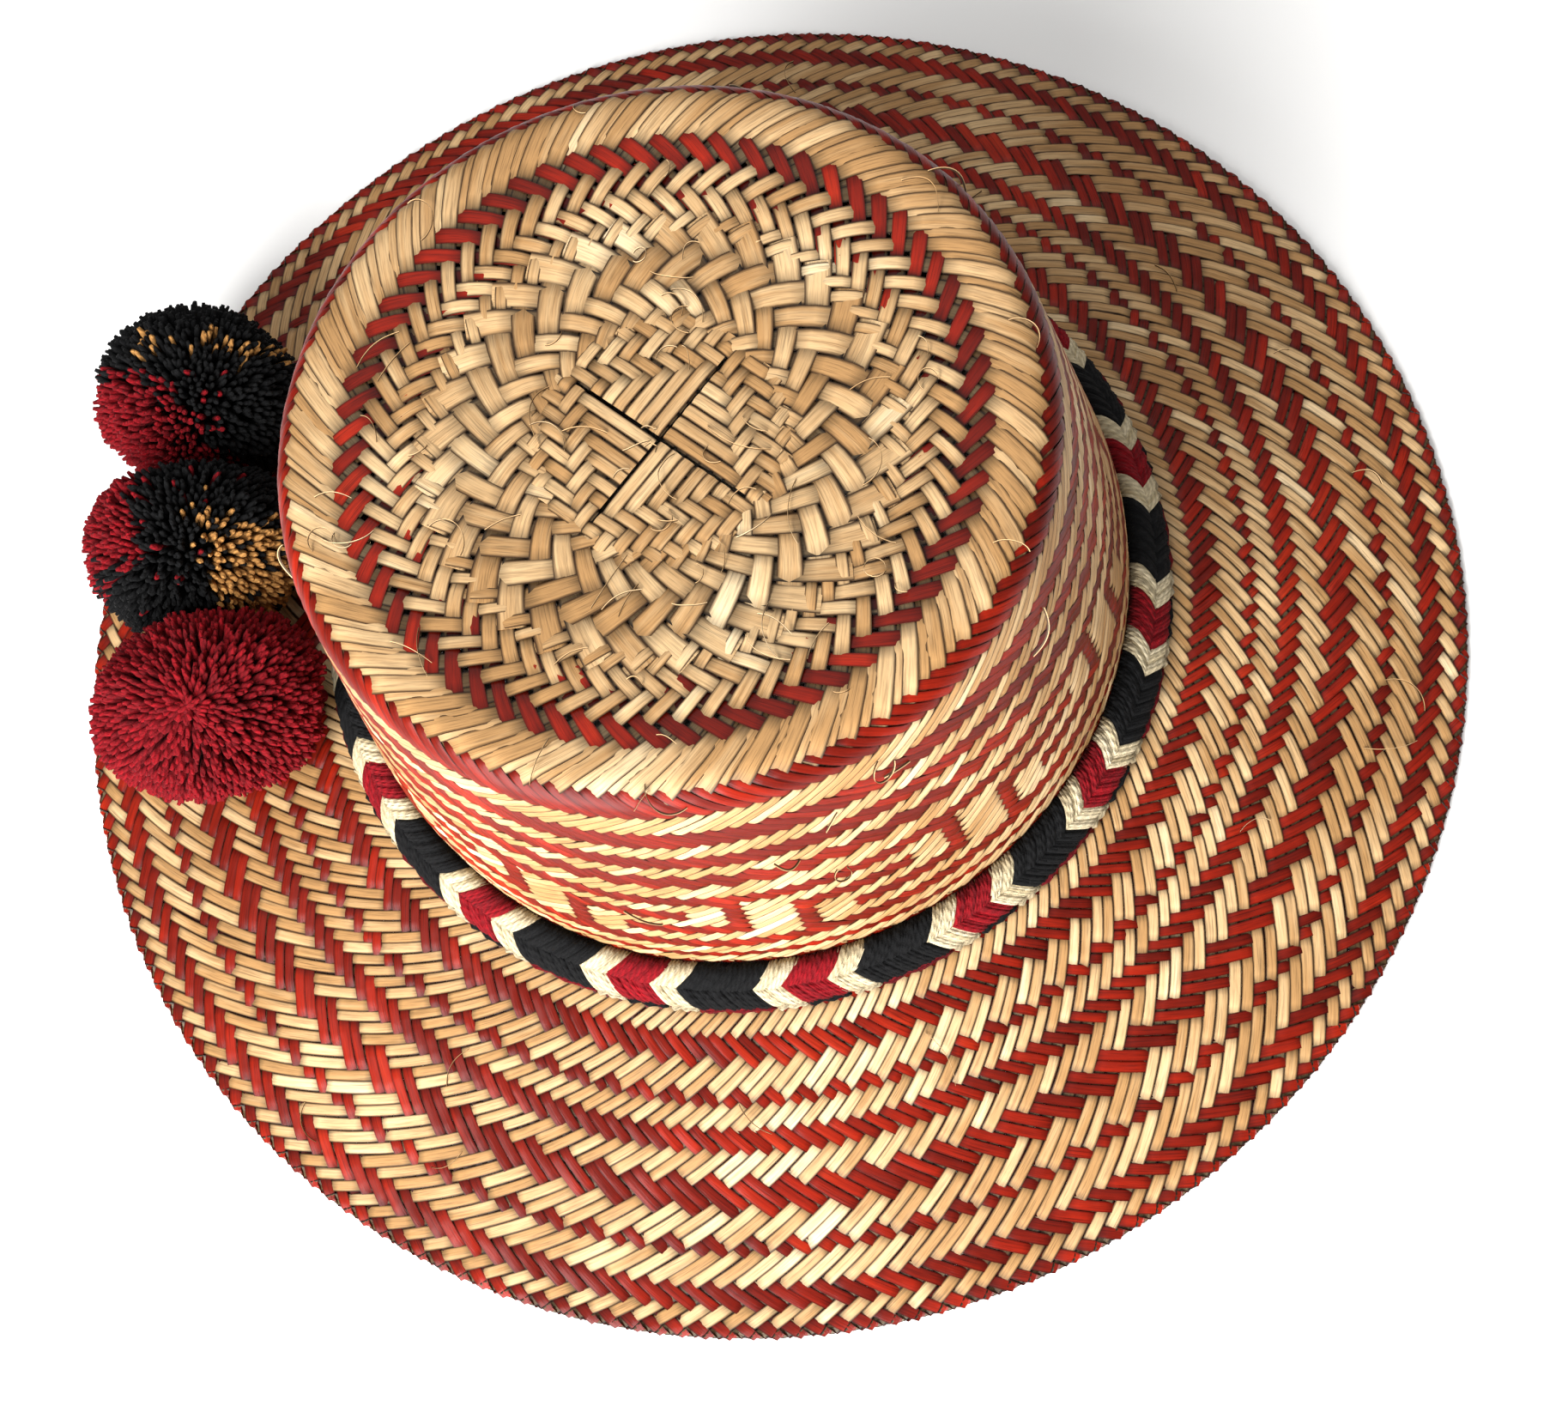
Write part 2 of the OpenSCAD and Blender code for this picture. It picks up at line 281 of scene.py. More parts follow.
@dataclass(frozen=True)
class PalmFinish:
    """Dried palm-leaf splint, split by hand and left with its natural waxy skin.

    The skin has a satin gloss along the grain. Fibres 0.2 to 0.5 mm wide run
    lengthwise, paler and darker, with fine dark threads where the veins show.
    The cut edges are painted as dark lines of shade between neighbours, and
    each splint is painted darker where it dives under the others. A dyed
    splint takes the dye unevenly, so it has lighter streaks.
    """

    name: str
    light: str
    middle: str
    dark: str
    # Colour of the painted shade along each splint's edges
    edge: str
    roughness: float
    gloss: float
    edge_shade_share: float
    painted_shade: float
    fibre_dark: float
    vein_dark: float
    grain_mm: tuple[float, float] = (0.42, 9.0)
    streak_mm: tuple[float, float] = (1.6, 30.0)
    vein_mm: tuple[float, float] = (0.3, 14.0)
    fibre_depth_mm: float = 0.15

    @staticmethod
    def streaks(tree: bpy.types.NodeTree, uv: bpy.types.NodeSocket, size_mm: tuple[float, float],
                detail: float = 1.0, rough: float = 0.5) -> bpy.types.NodeSocket:
        """Adds a pattern that is drawn out along the splint.

        Args:
            tree: node tree to add to.
            uv: the splint's UV map, in metres.
            size_mm: width and length of a streak.
            detail: levels of finer streaks within it.
            rough: strength of the finer streaks.

        Returns:
            The pattern, from 0 to 1.
        """
        scale = (1 / (size_mm[0] * MM), 1 / (size_mm[1] * MM), 1)
        drawn = add_node(tree, "ShaderNodeMapping", {"Vector": uv, "Scale": scale})
        return add_node(tree, "ShaderNodeTexNoise", {
            "Vector": drawn.outputs[0], "Scale": 1.0, "Detail": detail, "Roughness": rough}).outputs[0]

    def build(self) -> bpy.types.Material:
        """Builds the material.

        Returns:
            A material that reads the piece's UV map in metres and its point attributes.
        """
        material = new_material(self.name)
        tree = material.node_tree
        uv = add_node(tree, "ShaderNodeUVMap", uv_map="Strand").outputs[0]
        tone, across, lift = (add_node(tree, "ShaderNodeAttribute", attribute_name=name).outputs["Fac"]
                              for name in ("tone", "across", "lift"))
        place = add_node(tree, "ShaderNodeTexCoord").outputs["Object"]
        fibre = self.streaks(tree, uv, self.grain_mm, 3.0, 0.6)
        # Broad streaks, where the leaf changes colour
        streak = self.streaks(tree, uv, self.streak_mm)
        vein = self.streaks(tree, uv, self.vein_mm)
        # Patches of handling and age, some 40 mm across, over the whole hat
        patch = add_node(tree, "ShaderNodeTexNoise", {"Vector": place, "Scale": 25.0, "Detail": 2.0})

        toned = add_node(tree, "ShaderNodeMath", {0: streak, 1: tone}, operation="ADD")
        blend = add_node(tree, "ShaderNodeMath", {0: toned.outputs[0], 1: 0.5, 2: patch.outputs[0]},
                         operation="MULTIPLY_ADD")
        spread = add_node(tree, "ShaderNodeMapRange", {
            "Value": blend.outputs[0], "From Min": 0.62, "From Max": 1.38})
        ramp = add_node(tree, "ShaderNodeValToRGB", {"Fac": spread.outputs[0]})
        ramp.color_ramp.elements[0].color = linear(self.dark)
        ramp.color_ramp.elements[1].color = linear(self.light)
        ramp.color_ramp.elements.new(0.5).color = linear(self.middle)

        # Fibres darken the leaf a little, and a few thin veins more
        lines = add_node(tree, "ShaderNodeMapRange", {
            "Value": fibre, "From Min": 0.34, "From Max": 0.54, "To Min": self.fibre_dark})
        fibred = add_node(tree, "ShaderNodeMix", {
            MIX_SHARE: 1.0, MIX_FIRST: ramp.outputs[0], MIX_SECOND: lines.outputs[0]},
            data_type="RGBA", blend_type="MULTIPLY")
        veins = add_node(tree, "ShaderNodeMapRange", {
            "Value": vein, "From Min": 0.3, "From Max": 0.37, "To Min": self.vein_dark})
        veined = add_node(tree, "ShaderNodeMix", {
            MIX_SHARE: 1.0, MIX_FIRST: fibred.outputs[MIX_RESULT], MIX_SECOND: veins.outputs[0]},
            data_type="RGBA", blend_type="MULTIPLY")
        # Painted shade: a dark line along both edges of each splint, where it meets its neighbours
        side = add_node(tree, "ShaderNodeMath", {0: across}, operation="ABSOLUTE")
        rim = add_node(tree, "ShaderNodeMapRange", {
            "Value": side.outputs[0], "From Min": 0.68, "From Max": 0.94, "To Max": self.edge_shade_share})
        edge_shaded = add_node(tree, "ShaderNodeMix", {
            MIX_SHARE: rim.outputs[0], MIX_FIRST: veined.outputs[MIX_RESULT],
            MIX_SECOND: linear(self.edge)}, data_type="RGBA")
        # Painted shade: splints are darker where they dive under the others
        painted_shade = add_node(tree, "ShaderNodeMapRange", {
            "Value": lift, "From Min": -0.8, "From Max": 0.9, "To Min": self.painted_shade})
        shaded = add_node(tree, "ShaderNodeMix", {
            MIX_SHARE: 1.0, MIX_FIRST: edge_shaded.outputs[MIX_RESULT], MIX_SECOND: painted_shade.outputs[0]},
            data_type="RGBA", blend_type="MULTIPLY")
        bump = add_node(tree, "ShaderNodeBump", {
            "Strength": 0.45, "Distance": self.fibre_depth_mm * MM, "Height": fibre})
        shader = add_node(tree, "ShaderNodeBsdfPrincipled", {
            "Base Color": shaded.outputs[MIX_RESULT], "Roughness": self.roughness,
            "Specular IOR Level": self.gloss, "Normal": bump.outputs[0]})
        add_node(tree, "ShaderNodeOutputMaterial", {"Surface": shader.outputs[0]})
        return material


# ---------------------------------------------------------------- form


def rounded_line(corners: Sequence[tuple[float, float, float]], step: float = 0.2) -> np.ndarray:
    """Draws a line through corners, with an arc at each.

    Args:
        corners: radius, height and arc radius of each corner; the ends have no arc.
        step: distance between points.

    Returns:
        Points n by 2, evenly spaced.
    """
    points = [np.array(corners[0][:2], float)]
    for before, here, after in zip(corners, corners[1:], corners[2:]):
        corner = np.array(here[:2], float)
        back = np.array(before[:2]) - corner
        ahead = np.array(after[:2]) - corner
        back /= np.linalg.norm(back)
        ahead /= np.linalg.norm(ahead)
        half = math.acos(float(np.clip(back @ ahead, -1, 1))) / 2
        reach = here[2] / math.tan(half)
        middle = (back + ahead) / np.linalg.norm(back + ahead)
        centre = corner + middle * here[2] / math.sin(half)
        first, last = corner + back * reach - centre, corner + ahead * reach - centre
        turn = math.pi - 2 * half
        for part in np.linspace(0, 1, max(int(turn * here[2] / step), 3) + 1):
            weights = math.sin((1 - part) * turn), math.sin(part * turn)
            points.append(centre + (weights[0] * first + weights[1] * last) / math.sin(turn))
    points.append(np.array(corners[-1][:2], float))
    return even_line(np.array(points), step)


def even_line(points: np.ndarray, step: float) -> np.ndarray:
    """Spaces the points of a line evenly.

    Args:
        points: any points along the line, n by k.
        step: distance between the new points.

    Returns:
        The new points.
    """
    gone = np.concatenate([[0], np.cumsum(np.linalg.norm(np.diff(points, axis=0), axis=1))])
    at = np.linspace(0, gone[-1], int(gone[-1] / step) + 1)
    return np.stack([np.interp(at, gone, points[:, axis]) for axis in range(points.shape[1])], axis=1)


class HatForm:
    """Middle of the hat's plait, as a profile turned round the axis.

    A place on the profile is its distance along it from the crown's centre:
    over the flat top, round the shoulder, down the wall, through the hollow
    corner at the crown's foot, out along the brim and round its folded rim.
    """

    # All in millimetres: how much lower the brim's outer course lies by its
    # lap, the width of the flatter edge and its end, and the profile's step
    LAP = 1.06
    FLARE = 7.0
    EDGE_IN, EDGE_DOWN = 1.2, 0.75
    STEP = 0.15

    def __init__(self, depth: float = 0.8, hollow_r: float = 4.5, fold_r: float = 0.62) -> None:
        """Reads the hat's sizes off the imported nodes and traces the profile.

        Args:
            depth: how far the plait's middle lies under the outer surface, in millimetres.
            hollow_r: radius of the corner where crown and brim meet.
            fold_r: radius of the fold at the brim's rim.
        """
        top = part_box("tip_long_course")[1] / MM
        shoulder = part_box("shoulder_course")[1] / MM
        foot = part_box("foot_natural_courses")[1] / MM
        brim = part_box("brim_red_courses")
        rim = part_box("brim_edge")[1] / MM
        course_low, course_high = brim[0] / MM, brim[1] / MM
        slope = (course_high.z - course_low.z - self.LAP) / (course_high.x - foot.x)
        round_r = shoulder.x - top.x
        wall_slope = (foot.x - shoulder.x) / (top.z - round_r - foot.z)
        tip_r = shoulder.x - round_r * math.tan(math.atan(wall_slope) / 2) * 2
        self.rim_r = rim.x
        self.flat = top.x

        def brim_z(radius: float) -> float:
            """Height of the brim's outer surface at a radius."""
            return course_high.z - slope * (radius - foot.x)

        flare_r = rim.x - self.FLARE
        outer = rounded_line([
            (0, top.z, 0), (tip_r, top.z, round_r), (foot.x, foot.z, 40),
            (foot.x, course_high.z, hollow_r),
            (flare_r, brim_z(flare_r), 30), (rim.x - self.EDGE_IN, rim.z - self.EDGE_DOWN, 0)])
        normal = self.normals(outer)
        middle = outer - normal * depth
        # The splints turn round the rim and back under it
        last, last_normal = middle[-1], normal[-1]
        centre = last - last_normal * fold_r
        start = math.atan2(last_normal[1], last_normal[0])
        turn = np.linspace(start, -math.pi / 2, 12)[1:]
        fold = centre + fold_r * np.stack([np.cos(turn), np.sin(turn)], axis=1)
        back = fold[-1] + np.array([[-2.0, 0.15], [-4.5, 0.3]])
        self.line = even_line(np.concatenate([middle, fold, back]), self.STEP)
        self.normal = self.normals(self.line)
        self.along = np.arange(len(self.line)) * np.linalg.norm(self.line[1] - self.line[0])
        self.corner = int(np.argmin(np.hypot(self.line[:, 0] - foot.x, self.line[:, 1] - course_high.z)))
        self.farthest = int(np.argmax(self.line[:, 0]))
        self.root_along = self.along[self.corner]
        self.rim_along = self.along[self.farthest]

    @staticmethod
    def normals(line: np.ndarray) -> np.ndarray:
        """Outward normals of a line that runs from the axis to the rim."""
        way = unit(np.gradient(line, axis=0))
        return np.stack([-way[:, 1], way[:, 0]], axis=1)

    def at(self, along: np.ndarray) -> tuple[np.ndarray, np.ndarray, np.ndarray, np.ndarray]:
        """Places on the profile.

        Args:
            along: distances from the crown's centre.

        Returns:
            Radius, height, and the outward normal's radial and upward parts.
        """
        return tuple(np.interp(along, self.along, column) for column in
                     (self.line[:, 0], self.line[:, 1], self.normal[:, 0], self.normal[:, 1]))

    def drift(self, along: np.ndarray) -> np.ndarray:
        """How far the hand-plaited crown stands off the axis.

        The rings of the tip were started a little off the middle, and the wall
        brings them back to the round of the foot.

        Args:
            along: distances from the crown's centre.

        Returns:
            Sideways offsets in millimetres, one more axis of length 3.
        """
        marks = [0, 52, self.flat + 5, self.root_along - 12]
        x = np.interp(along, marks, [-2.3, -2.3, -2.6, 0.0])
        y = np.interp(along, marks, [-5.2, -4.6, -1.8, 0.0])
        return np.stack([x, y, 0 * x], axis=-1)

    def brim_along(self, radius: float) -> float:
        """Distance along the profile of a radius on the brim."""
        part = slice(self.corner + 30, self.farthest)
        return float(np.interp(radius, self.line[part, 0], self.along[part]))

    def wall_along(self, height: float) -> float:
        """Distance along the profile of a height on the crown's wall."""
        return float(np.interp(-height, -self.line[:self.corner, 1], self.along[:self.corner]))


# ---------------------------------------------------------------- plait


class SplintMaster:
    """One splint, modelled as a straight strip, that all the others copy.

    Its width runs from -1 to 1, its length is a number of equal steps, and its
    thickness is in millimetres, crowned along the middle as a dried leaf is.
    """

    def __init__(self, steps: int, thickness: float = 0.34, crown: float = 0.2) -> None:
        """Models the strip.

        Args:
            steps: faces along its length.
            thickness: thickness in millimetres.
            crown: how far its middle stands above its edges, in millimetres.
        """
        deselect_all()
        bpy.ops.mesh.primitive_grid_add(x_subdivisions=2, y_subdivisions=steps, size=2)
        strip = bpy.context.object
        bpy.ops.object.mode_set(mode="EDIT")
        bpy.ops.mesh.select_mode(type="VERT")
        bpy.ops.mesh.select_all(action="DESELECT")
        bpy.ops.object.mode_set(mode="OBJECT")
        for vertex in strip.data.vertices:
            vertex.select = abs(vertex.co.x) < 0.01
        bpy.ops.object.mode_set(mode="EDIT")
        bpy.ops.transform.translate(value=(0, 0, crown))
        bpy.ops.object.mode_set(mode="OBJECT")
        wall = strip.modifiers.new("Thickness", "SOLIDIFY")
        wall.thickness = thickness
        wall.offset = -1
        bpy.ops.object.modifier_apply(modifier=wall.name)
        place = read_all(strip.data.vertices, "co", 3)
        self.across = np.clip(place[:, 0], -1, 1)
        self.step = np.clip(np.rint((place[:, 1] + 1) / 2 * steps), 0, steps).astype(int)
        self.high = place[:, 2]
        self.faces = read_all(strip.data.loops, "vertex_index", kind=np.int64).reshape(-1, 4)
        remove(strip)


def lay_splints(name: str, master: SplintMaster, centre: np.ndarray, normal: np.ndarray,
                half_width: np.ndarray, lift: np.ndarray, roll: np.ndarray,
                tone: np.ndarray, start: np.ndarray) -> bpy.types.Object:
    """Copies the master along many paths at once.

    Args:
        name: object name.
        master: the straight strip.
        centre: path points in millimetres, splints by steps by 3.
        normal: outward normals at those points.
        half_width: half width at each, in millimetres.
        lift: -1 where the splint is under, 1 where it is over.
        roll: turn about its own length at each, in radians.
        tone: one shade for each splint.
        start: where each splint's grain starts, in millimetres.

    Returns:
        The mesh object, with all the splints.
    """
    side, up, gone = path_frames(centre, normal)
    cos_r, sin_r = np.cos(roll)[..., None], np.sin(roll)[..., None]
    side, up = side * cos_r + up * sin_r, up * cos_r - side * sin_r
    x, k, high = master.across, master.step, master.high
    wide = half_width[:, k] * x
    points = centre[:, k] + side[:, k] * wide[..., None] + up[:, k] * high[None, :, None]
    count = len(centre)
    faces = master.faces[None] + (np.arange(count) * len(x))[:, None, None]
    uv = np.stack([(wide + start[:, None]) * MM, (gone[:, k] + start[:, None]) * MM], axis=2)
    values = {
        "tone": np.repeat(tone, len(x)),
        "across": np.tile(x, count),
        "lift": lift[:, k].ravel(),
    }
    corners = faces.ravel()
    return mesh_object(name, points.reshape(-1, 3) * MM, corners, np.full(len(corners) // 4, 4),
                       uv.reshape(-1, 2)[corners], values)


@dataclass(frozen=True)
class Turnover:
    """Level of a plait where the showing set changes.

    At a doubled one, splints dive in pairs. The phases say which neighbours
    pair up in each set.
    """

    level: float
    doubled: bool = False
    natural_phase: int = 0
    dyed_phase: int = 0

    def passed(self, first: np.ndarray, level: np.ndarray) -> np.ndarray:
        """Whether crossings lie beyond it.

        Args:
            first: index of the natural splint at each crossing.
            level: level of each crossing.

        Returns:
            True where the crossing lies further out.
        """
        if not self.doubled:
            return (level + 0 * first) > self.level
        a, b = self.natural_phase, self.dyed_phase
        block = (2 * ((first + a) // 2) - a) - (2 * ((first - level + b) // 2) - b)
        return block > self.level


@dataclass(frozen=True)
class Fret:
    """Meander round the wall: dyed hooks from two rails, and natural between them.

    Places across a repeat are counted in splints from the middle of the upright
    that rises from the lower rail, and rows are counted from the top.
    """

    first_level: int
    turn: float
    repeat: int = 12
    rows: int = 7
    levels_per_row: int = 3
    low_post_half: float = 0.66
    low_hook_end: float = 6.1
    low_hook_row: int = 2
    high_post: tuple[float, float] = (7.9, 9.25)
    high_hook_start: float = 2.7
    high_hook_row: int = 4

    def covers(self, level: np.ndarray) -> np.ndarray:
        """True on the levels that the fret takes up."""
        return (level >= self.first_level) & (level < self.first_level + self.rows * self.levels_per_row)

    def dyed(self, across: np.ndarray, level: np.ndarray) -> np.ndarray:
        """Where the dyed set shows.

        Args:
            across: place round the hat, in splints from the fret's first upright.
            level: level of each crossing.

        Returns:
            True where a dyed splint lies on top.
        """
        down = (level - self.first_level) // self.levels_per_row
        u = np.mod(across + self.low_post_half, self.repeat) - self.low_post_half
        rail = (down <= 0) | (down >= self.rows - 1)
        low_post = (np.abs(u) < self.low_post_half) & (down >= self.low_hook_row)
        low_hook = (u > -self.low_post_half) & (u < self.low_hook_end) & (down == self.low_hook_row)
        before_end = u < self.high_post[1]
        high_post = (u > self.high_post[0]) & before_end & (down <= self.high_hook_row)
        high_hook = (u > self.high_hook_start) & before_end & (down == self.high_hook_row)
        return rail | low_post | low_hook | high_post | high_hook


@dataclass
class Plait:
    """A ring of plaiting with the same number of splints slanting each way.

    Natural splint i and crossing splint j meet at level i - j. The levels lie
    `spacing` apart along the profile, and each is half a splint's pitch further
    round, so the spacing sets the slant. On the tip each level lies further out
    than the last by the same share, `growth`, so the slant stays the same.
    """

    form: HatForm
    count: int
    start: float
    spacing: float
    natural_first: bool
    turnovers: Sequence[Turnover]
    turn: float = 0.0
    fret: Fret | None = None
    amplitude: float = 0.36
    growth: float = 0.0

    def place(self, level: np.ndarray) -> np.ndarray:
        """Distance along the profile of a level."""
        if self.growth:
            return self.start * np.exp(self.growth * level)
        return self.start + level * self.spacing

    def natural_on_top(self, first: np.ndarray, level: np.ndarray) -> np.ndarray:
        """True at the crossings where the natural splint lies over the other."""
        passed = sum(one.passed(first, level).astype(int) for one in self.turnovers)
        shows = (passed % 2 == 0) == self.natural_first
        if self.fret is None:
            return shows
        level = level + 0 * first
        across = first - level / 2 + (self.turn - self.fret.turn) / (2 * math.pi / self.count)
        return np.where(self.fret.covers(level), ~self.fret.dyed(across, level), shows)

    def splints(self, label: str, colour: Colour, seed: int, span: tuple[int, int],
                cover: float = 0.95, chosen: slice = slice(None), fold: float = 5.0,
                deeper: float = 0.0, shift: float = 0.0, sink: float = 0.0) -> bpy.types.Object:
        """Lays one of the two sets, or some of it.

        Args:
            label: object name.
            colour: which set; the natural one turns back as it goes out.
            seed: random seed of this set.
            span: first and last level that its splints reach.
            cover: share of the pitch that a splint covers.
            chosen: which splints of the set.
            fold: how far each is tipped over its neighbour, in degrees.
            deeper: extra depth at the splints' ends, in millimetres.
            shift: how far the set is moved round, as a share of the pitch.
            sink: how much deeper the whole set lies, in millimetres.

        Returns:
            The mesh object.
        """
        rng = np.random.default_rng(SEED + seed)
        natural = colour is Colour.NATURAL
        index = np.arange(self.count)[:, None]
        level = np.arange(span[0], span[1] + 1)[None, :]
        if natural:
            over = self.natural_on_top(index, level)
        else:
            over = ~self.natural_on_top(index + level, level)
        half_level = np.arange(2 * span[0], 2 * span[1] + 1) / 2
        way = -1 if natural else 1
        steps = len(half_level)
        pitch = 2 * math.pi / self.count
        wander = 0.05 * smooth_noise(rng, self.count, steps, 14)
        wander = wander + rng.uniform(-0.03, 0.03, (self.count, 1))
        theta = self.turn + pitch * (index + shift + wander + way * half_level[None, :] / 2)
        along = self.place(half_level)
        r, z, nr, nz = self.form.at(along)
        height = self.heights(over, rng)
        ends = np.clip(1 - np.minimum(half_level - span[0], span[1] - half_level) / 1.5, 0, 1)
        off = height * self.amplitude - ends[None, :] * deeper - sink
        normal = np.stack([nr * np.cos(theta), nr * np.sin(theta),
                           np.broadcast_to(nz, theta.shape)], axis=2)
        centre = np.stack([r * np.cos(theta), r * np.sin(theta),
                           np.broadcast_to(z, theta.shape)], axis=2)
        centre = centre + normal * off[..., None] + self.form.drift(along)
        lean = np.arctan2(pitch * r / 2, np.gradient(along) * 2)
        half = 0.5 * cover * pitch * r * np.cos(lean)
        width = half[None, :] * (1 + rng.uniform(-0.08, 0.05, (self.count, 1))
                                 + 0.05 * smooth_noise(rng, self.count, steps, 10))
        roll = math.radians(fold) * way * (1 + 0.6 * smooth_noise(rng, self.count, steps, 5))
        tone = shades(rng, self.count, 0.28)
        start = rng.uniform(0, GRAIN_RUN, self.count)
        pick = np.arange(self.count)[chosen]
        master = SplintMaster(steps - 1)
        return lay_splints(label, master, centre[pick], normal[pick], width[pick], height[pick],
                           roll[pick], tone[pick], start[pick])

    @staticmethod
    def heights(over: np.ndarray, rng: np.random.Generator) -> np.ndarray:
        """Height of each splint at each half level.

        Args:
            over: True where the splint is on top, splints by levels.
            rng: seeded random source.

        Returns:
            Heights about -1 to 1, splints by (2 * levels - 1).
        """
        state = np.where(over, 1.0, -1.0)
        full = np.empty((state.shape[0], 2 * state.shape[1] - 1))
        full[:, ::2] = state
        full[:, 1::2] = (state[:, 1:] + state[:, :-1]) / 2 * 1.12
        soft = full.copy()
        soft[:, 1:-1] = 0.1 * full[:, :-2] + 0.8 * full[:, 1:-1] + 0.1 * full[:, 2:]
        return soft + 0.1 * rng.uniform(-1, 1, soft.shape)


def rows_to_turnovers(first: int, counts: Sequence[int]) -> list[Turnover]:
    """Turnovers between rows of a given number of levels each.

    Args:
        first: level at which the first row starts.
        counts: levels in each row.

    Returns:
        One turnover at the start of every row and one after the last.
    """
    edges = np.cumsum([first, *counts])
    return [Turnover(float(edge) - 0.5) for edge in edges]


def doubled_turnover(middle: int) -> Turnover:
    """Turnover where splints dive in pairs, about a given level."""
    return Turnover(middle + 0.5, True, 0, 1 - middle % 2)


# ---------------------------------------------------------------- hat


@dataclass(frozen=True)
class SplintSet:
    """How one of the two sets of a wide ring is laid.

    Its splints start at level `first`, cover a share of the pitch, and are
    tipped over their neighbours by `fold` degrees.
    """

    colour: Colour
    seed: int
    first: int
    cover: float
    fold: float
    replaced: Sequence[str]


@dataclass
class PalmHat:
    """The plaited hat: its flat tip, its wall with the fret, and its brim."""

    form: HatForm
    natural: bpy.types.Material
    dyed: bpy.types.Material
    cross_span: float = 27.5
    cross_splint: float = 3.2
    cross_slit: float = 0.75
    cross_slit_end: float = 22.0
    cross_turn: float = 52.0
    cross_step: float = 21.0
    cross_ring: float = 6.6
    whiskers: int = 95
    whisker_r: float = 0.065
    inner_count: int = 33
    outer_count: int = 66
    wall_count: int = 132
    brim_count: int = 198
    fret_turn: float = 21.0
    fret_top: float = 79.7
    fret_foot: float = 49.6
    brim_pair: float = 10.3

    def build(self) -> None:
        """Builds every piece of the hat."""
        self.build_cross()
        self.build_whiskers()
        self.build_tip()
        self.build_wall()
        self.build_brim()

    def dress(self, obj: bpy.types.Object, colour: Colour, replaced: Sequence[str] = ()) -> None:
        """Finishes a piece of the plait.

        Args:
            obj: the laid splints.
            colour: which set they belong to.
            replaced: CAD nodes that they stand for.
        """
        natural = colour is Colour.NATURAL
        finish_piece(obj, "hat",
                     self.natural if natural else self.dyed, replaced, 35)

    def lay_halves(self, plait: Plait, part: str, levels: int, deeper: float,
                   sets: Sequence[SplintSet]) -> None:
        """Lays both sets of a wide ring, every other splint in a piece of its own.

        Args:
            plait: the ring.
            part: start of the pieces' names.
            levels: last level that the splints reach.
            deeper: extra depth at the splints' ends, in millimetres.
            sets: the two sets.
        """
        for half, name in enumerate(("even", "odd")):
            for one in sets:
                label = f"{part}_{one.colour.value}_{name}"
                obj = plait.splints(label, one.colour, one.seed, (one.first, levels), one.cover,
                                    slice(half, None, 2), one.fold, deeper)
                self.dress(obj, one.colour, one.replaced)

    def build_cross(self) -> None:
        """Lays the square weave in four quarters round the slits at the crown's centre."""
        rng = np.random.default_rng(SEED + 1)
        count = int((self.cross_span - 1) / self.cross_splint)
        offsets = (self.cross_slit + self.cross_splint) / 2 + self.cross_splint * np.arange(count)
        offsets = np.concatenate([-offsets[::-1], offsets])
        _, top, _, _ = self.form.at(np.array([1.0]))
        turn = math.radians(self.cross_turn)
        axes = np.array([[math.cos(turn), math.sin(turn), 0], [-math.sin(turn), math.cos(turn), 0]])
        steps = 18
        for way, label in enumerate(("start_cross_along", "start_cross_athwart")):
            runs, places = [], []
            for offset in offsets:
                reach = math.sqrt(self.cross_span ** 2 - offset ** 2)
                for side in (-1, 1):
                    # Each splint of a quarter stops at the slit or, past its end, runs on under the next
                    shows = (offset * side > 0) == (way == 0)
                    stops = shows or abs(offset) < self.cross_slit_end
                    inner = self.cross_slit / 2 if stops else -1.5
                    runs.append(side * np.linspace(inner, reach, steps + 1))
                    places.append(offset)
            run, offset = np.array(runs), np.array(places)[:, None]
            out = np.abs(offset) + np.abs(run) - self.cross_step
            ring = np.floor(out / self.cross_ring + 1).astype(int)
            shows = (offset * run > 0) == (way == 0)
            over = np.where(np.clip(ring, 0, None) % 2 == 0, shows, ~shows)
            height = np.where(over, 1.0, -1.0)
            height[:, 1:-1] = 0.3 * height[:, :-2] + 0.4 * height[:, 1:-1] + 0.3 * height[:, 2:]
            ends = np.clip(1 - (np.abs(run[:, -1:]) - np.abs(run)) / 2.0, 0, 1)
            tuck = np.clip(1 - (np.abs(run) - self.cross_slit / 2) / 1.2, 0, 1) * 0.35
            bow = 0.22 * smooth_noise(rng, len(offset), steps + 1, 12)
            bow *= np.clip((np.abs(offset) - 2) / 3, 0, 1)
            axis, cross = axes[way], axes[1 - way]
            centre = run[..., None] * axis + (offset + bow)[..., None] * cross
            centre[..., 2] = top[0] + 0.1 + height * 0.36 - ends * 0.3 - tuck
            centre += self.form.drift(np.zeros(1))
            normal = np.zeros_like(centre)
            normal[..., 2] = 1
            width = np.full(run.shape, self.cross_splint * 0.485)
            width = width * rng.uniform(0.92, 1.0, (len(offset), 1))
            roll = math.radians(5) * smooth_noise(rng, len(offset), steps + 1, 8)
            tone = shades(rng, len(offset), 0.25, 0.5)
            start = rng.uniform(0, GRAIN_RUN, len(offset))
            obj = lay_splints(label, SplintMaster(steps), centre, normal, width, height, roll,
                              tone, start)
            self.dress(obj, Colour.NATURAL, ["start_cross"])

    def build_whiskers(self) -> None:
        """Lays the loose fibres that stand off the plait, most of them on the tip."""
        rng = np.random.default_rng(SEED + 9)
        count, steps = self.whiskers, 14
        part = np.linspace(0, 1, steps + 1)
        limit = self.form.rim_along - 6
        first = np.where(rng.random(count) < 0.7, rng.uniform(4, 84, count),
                         rng.uniform(84, limit, count))
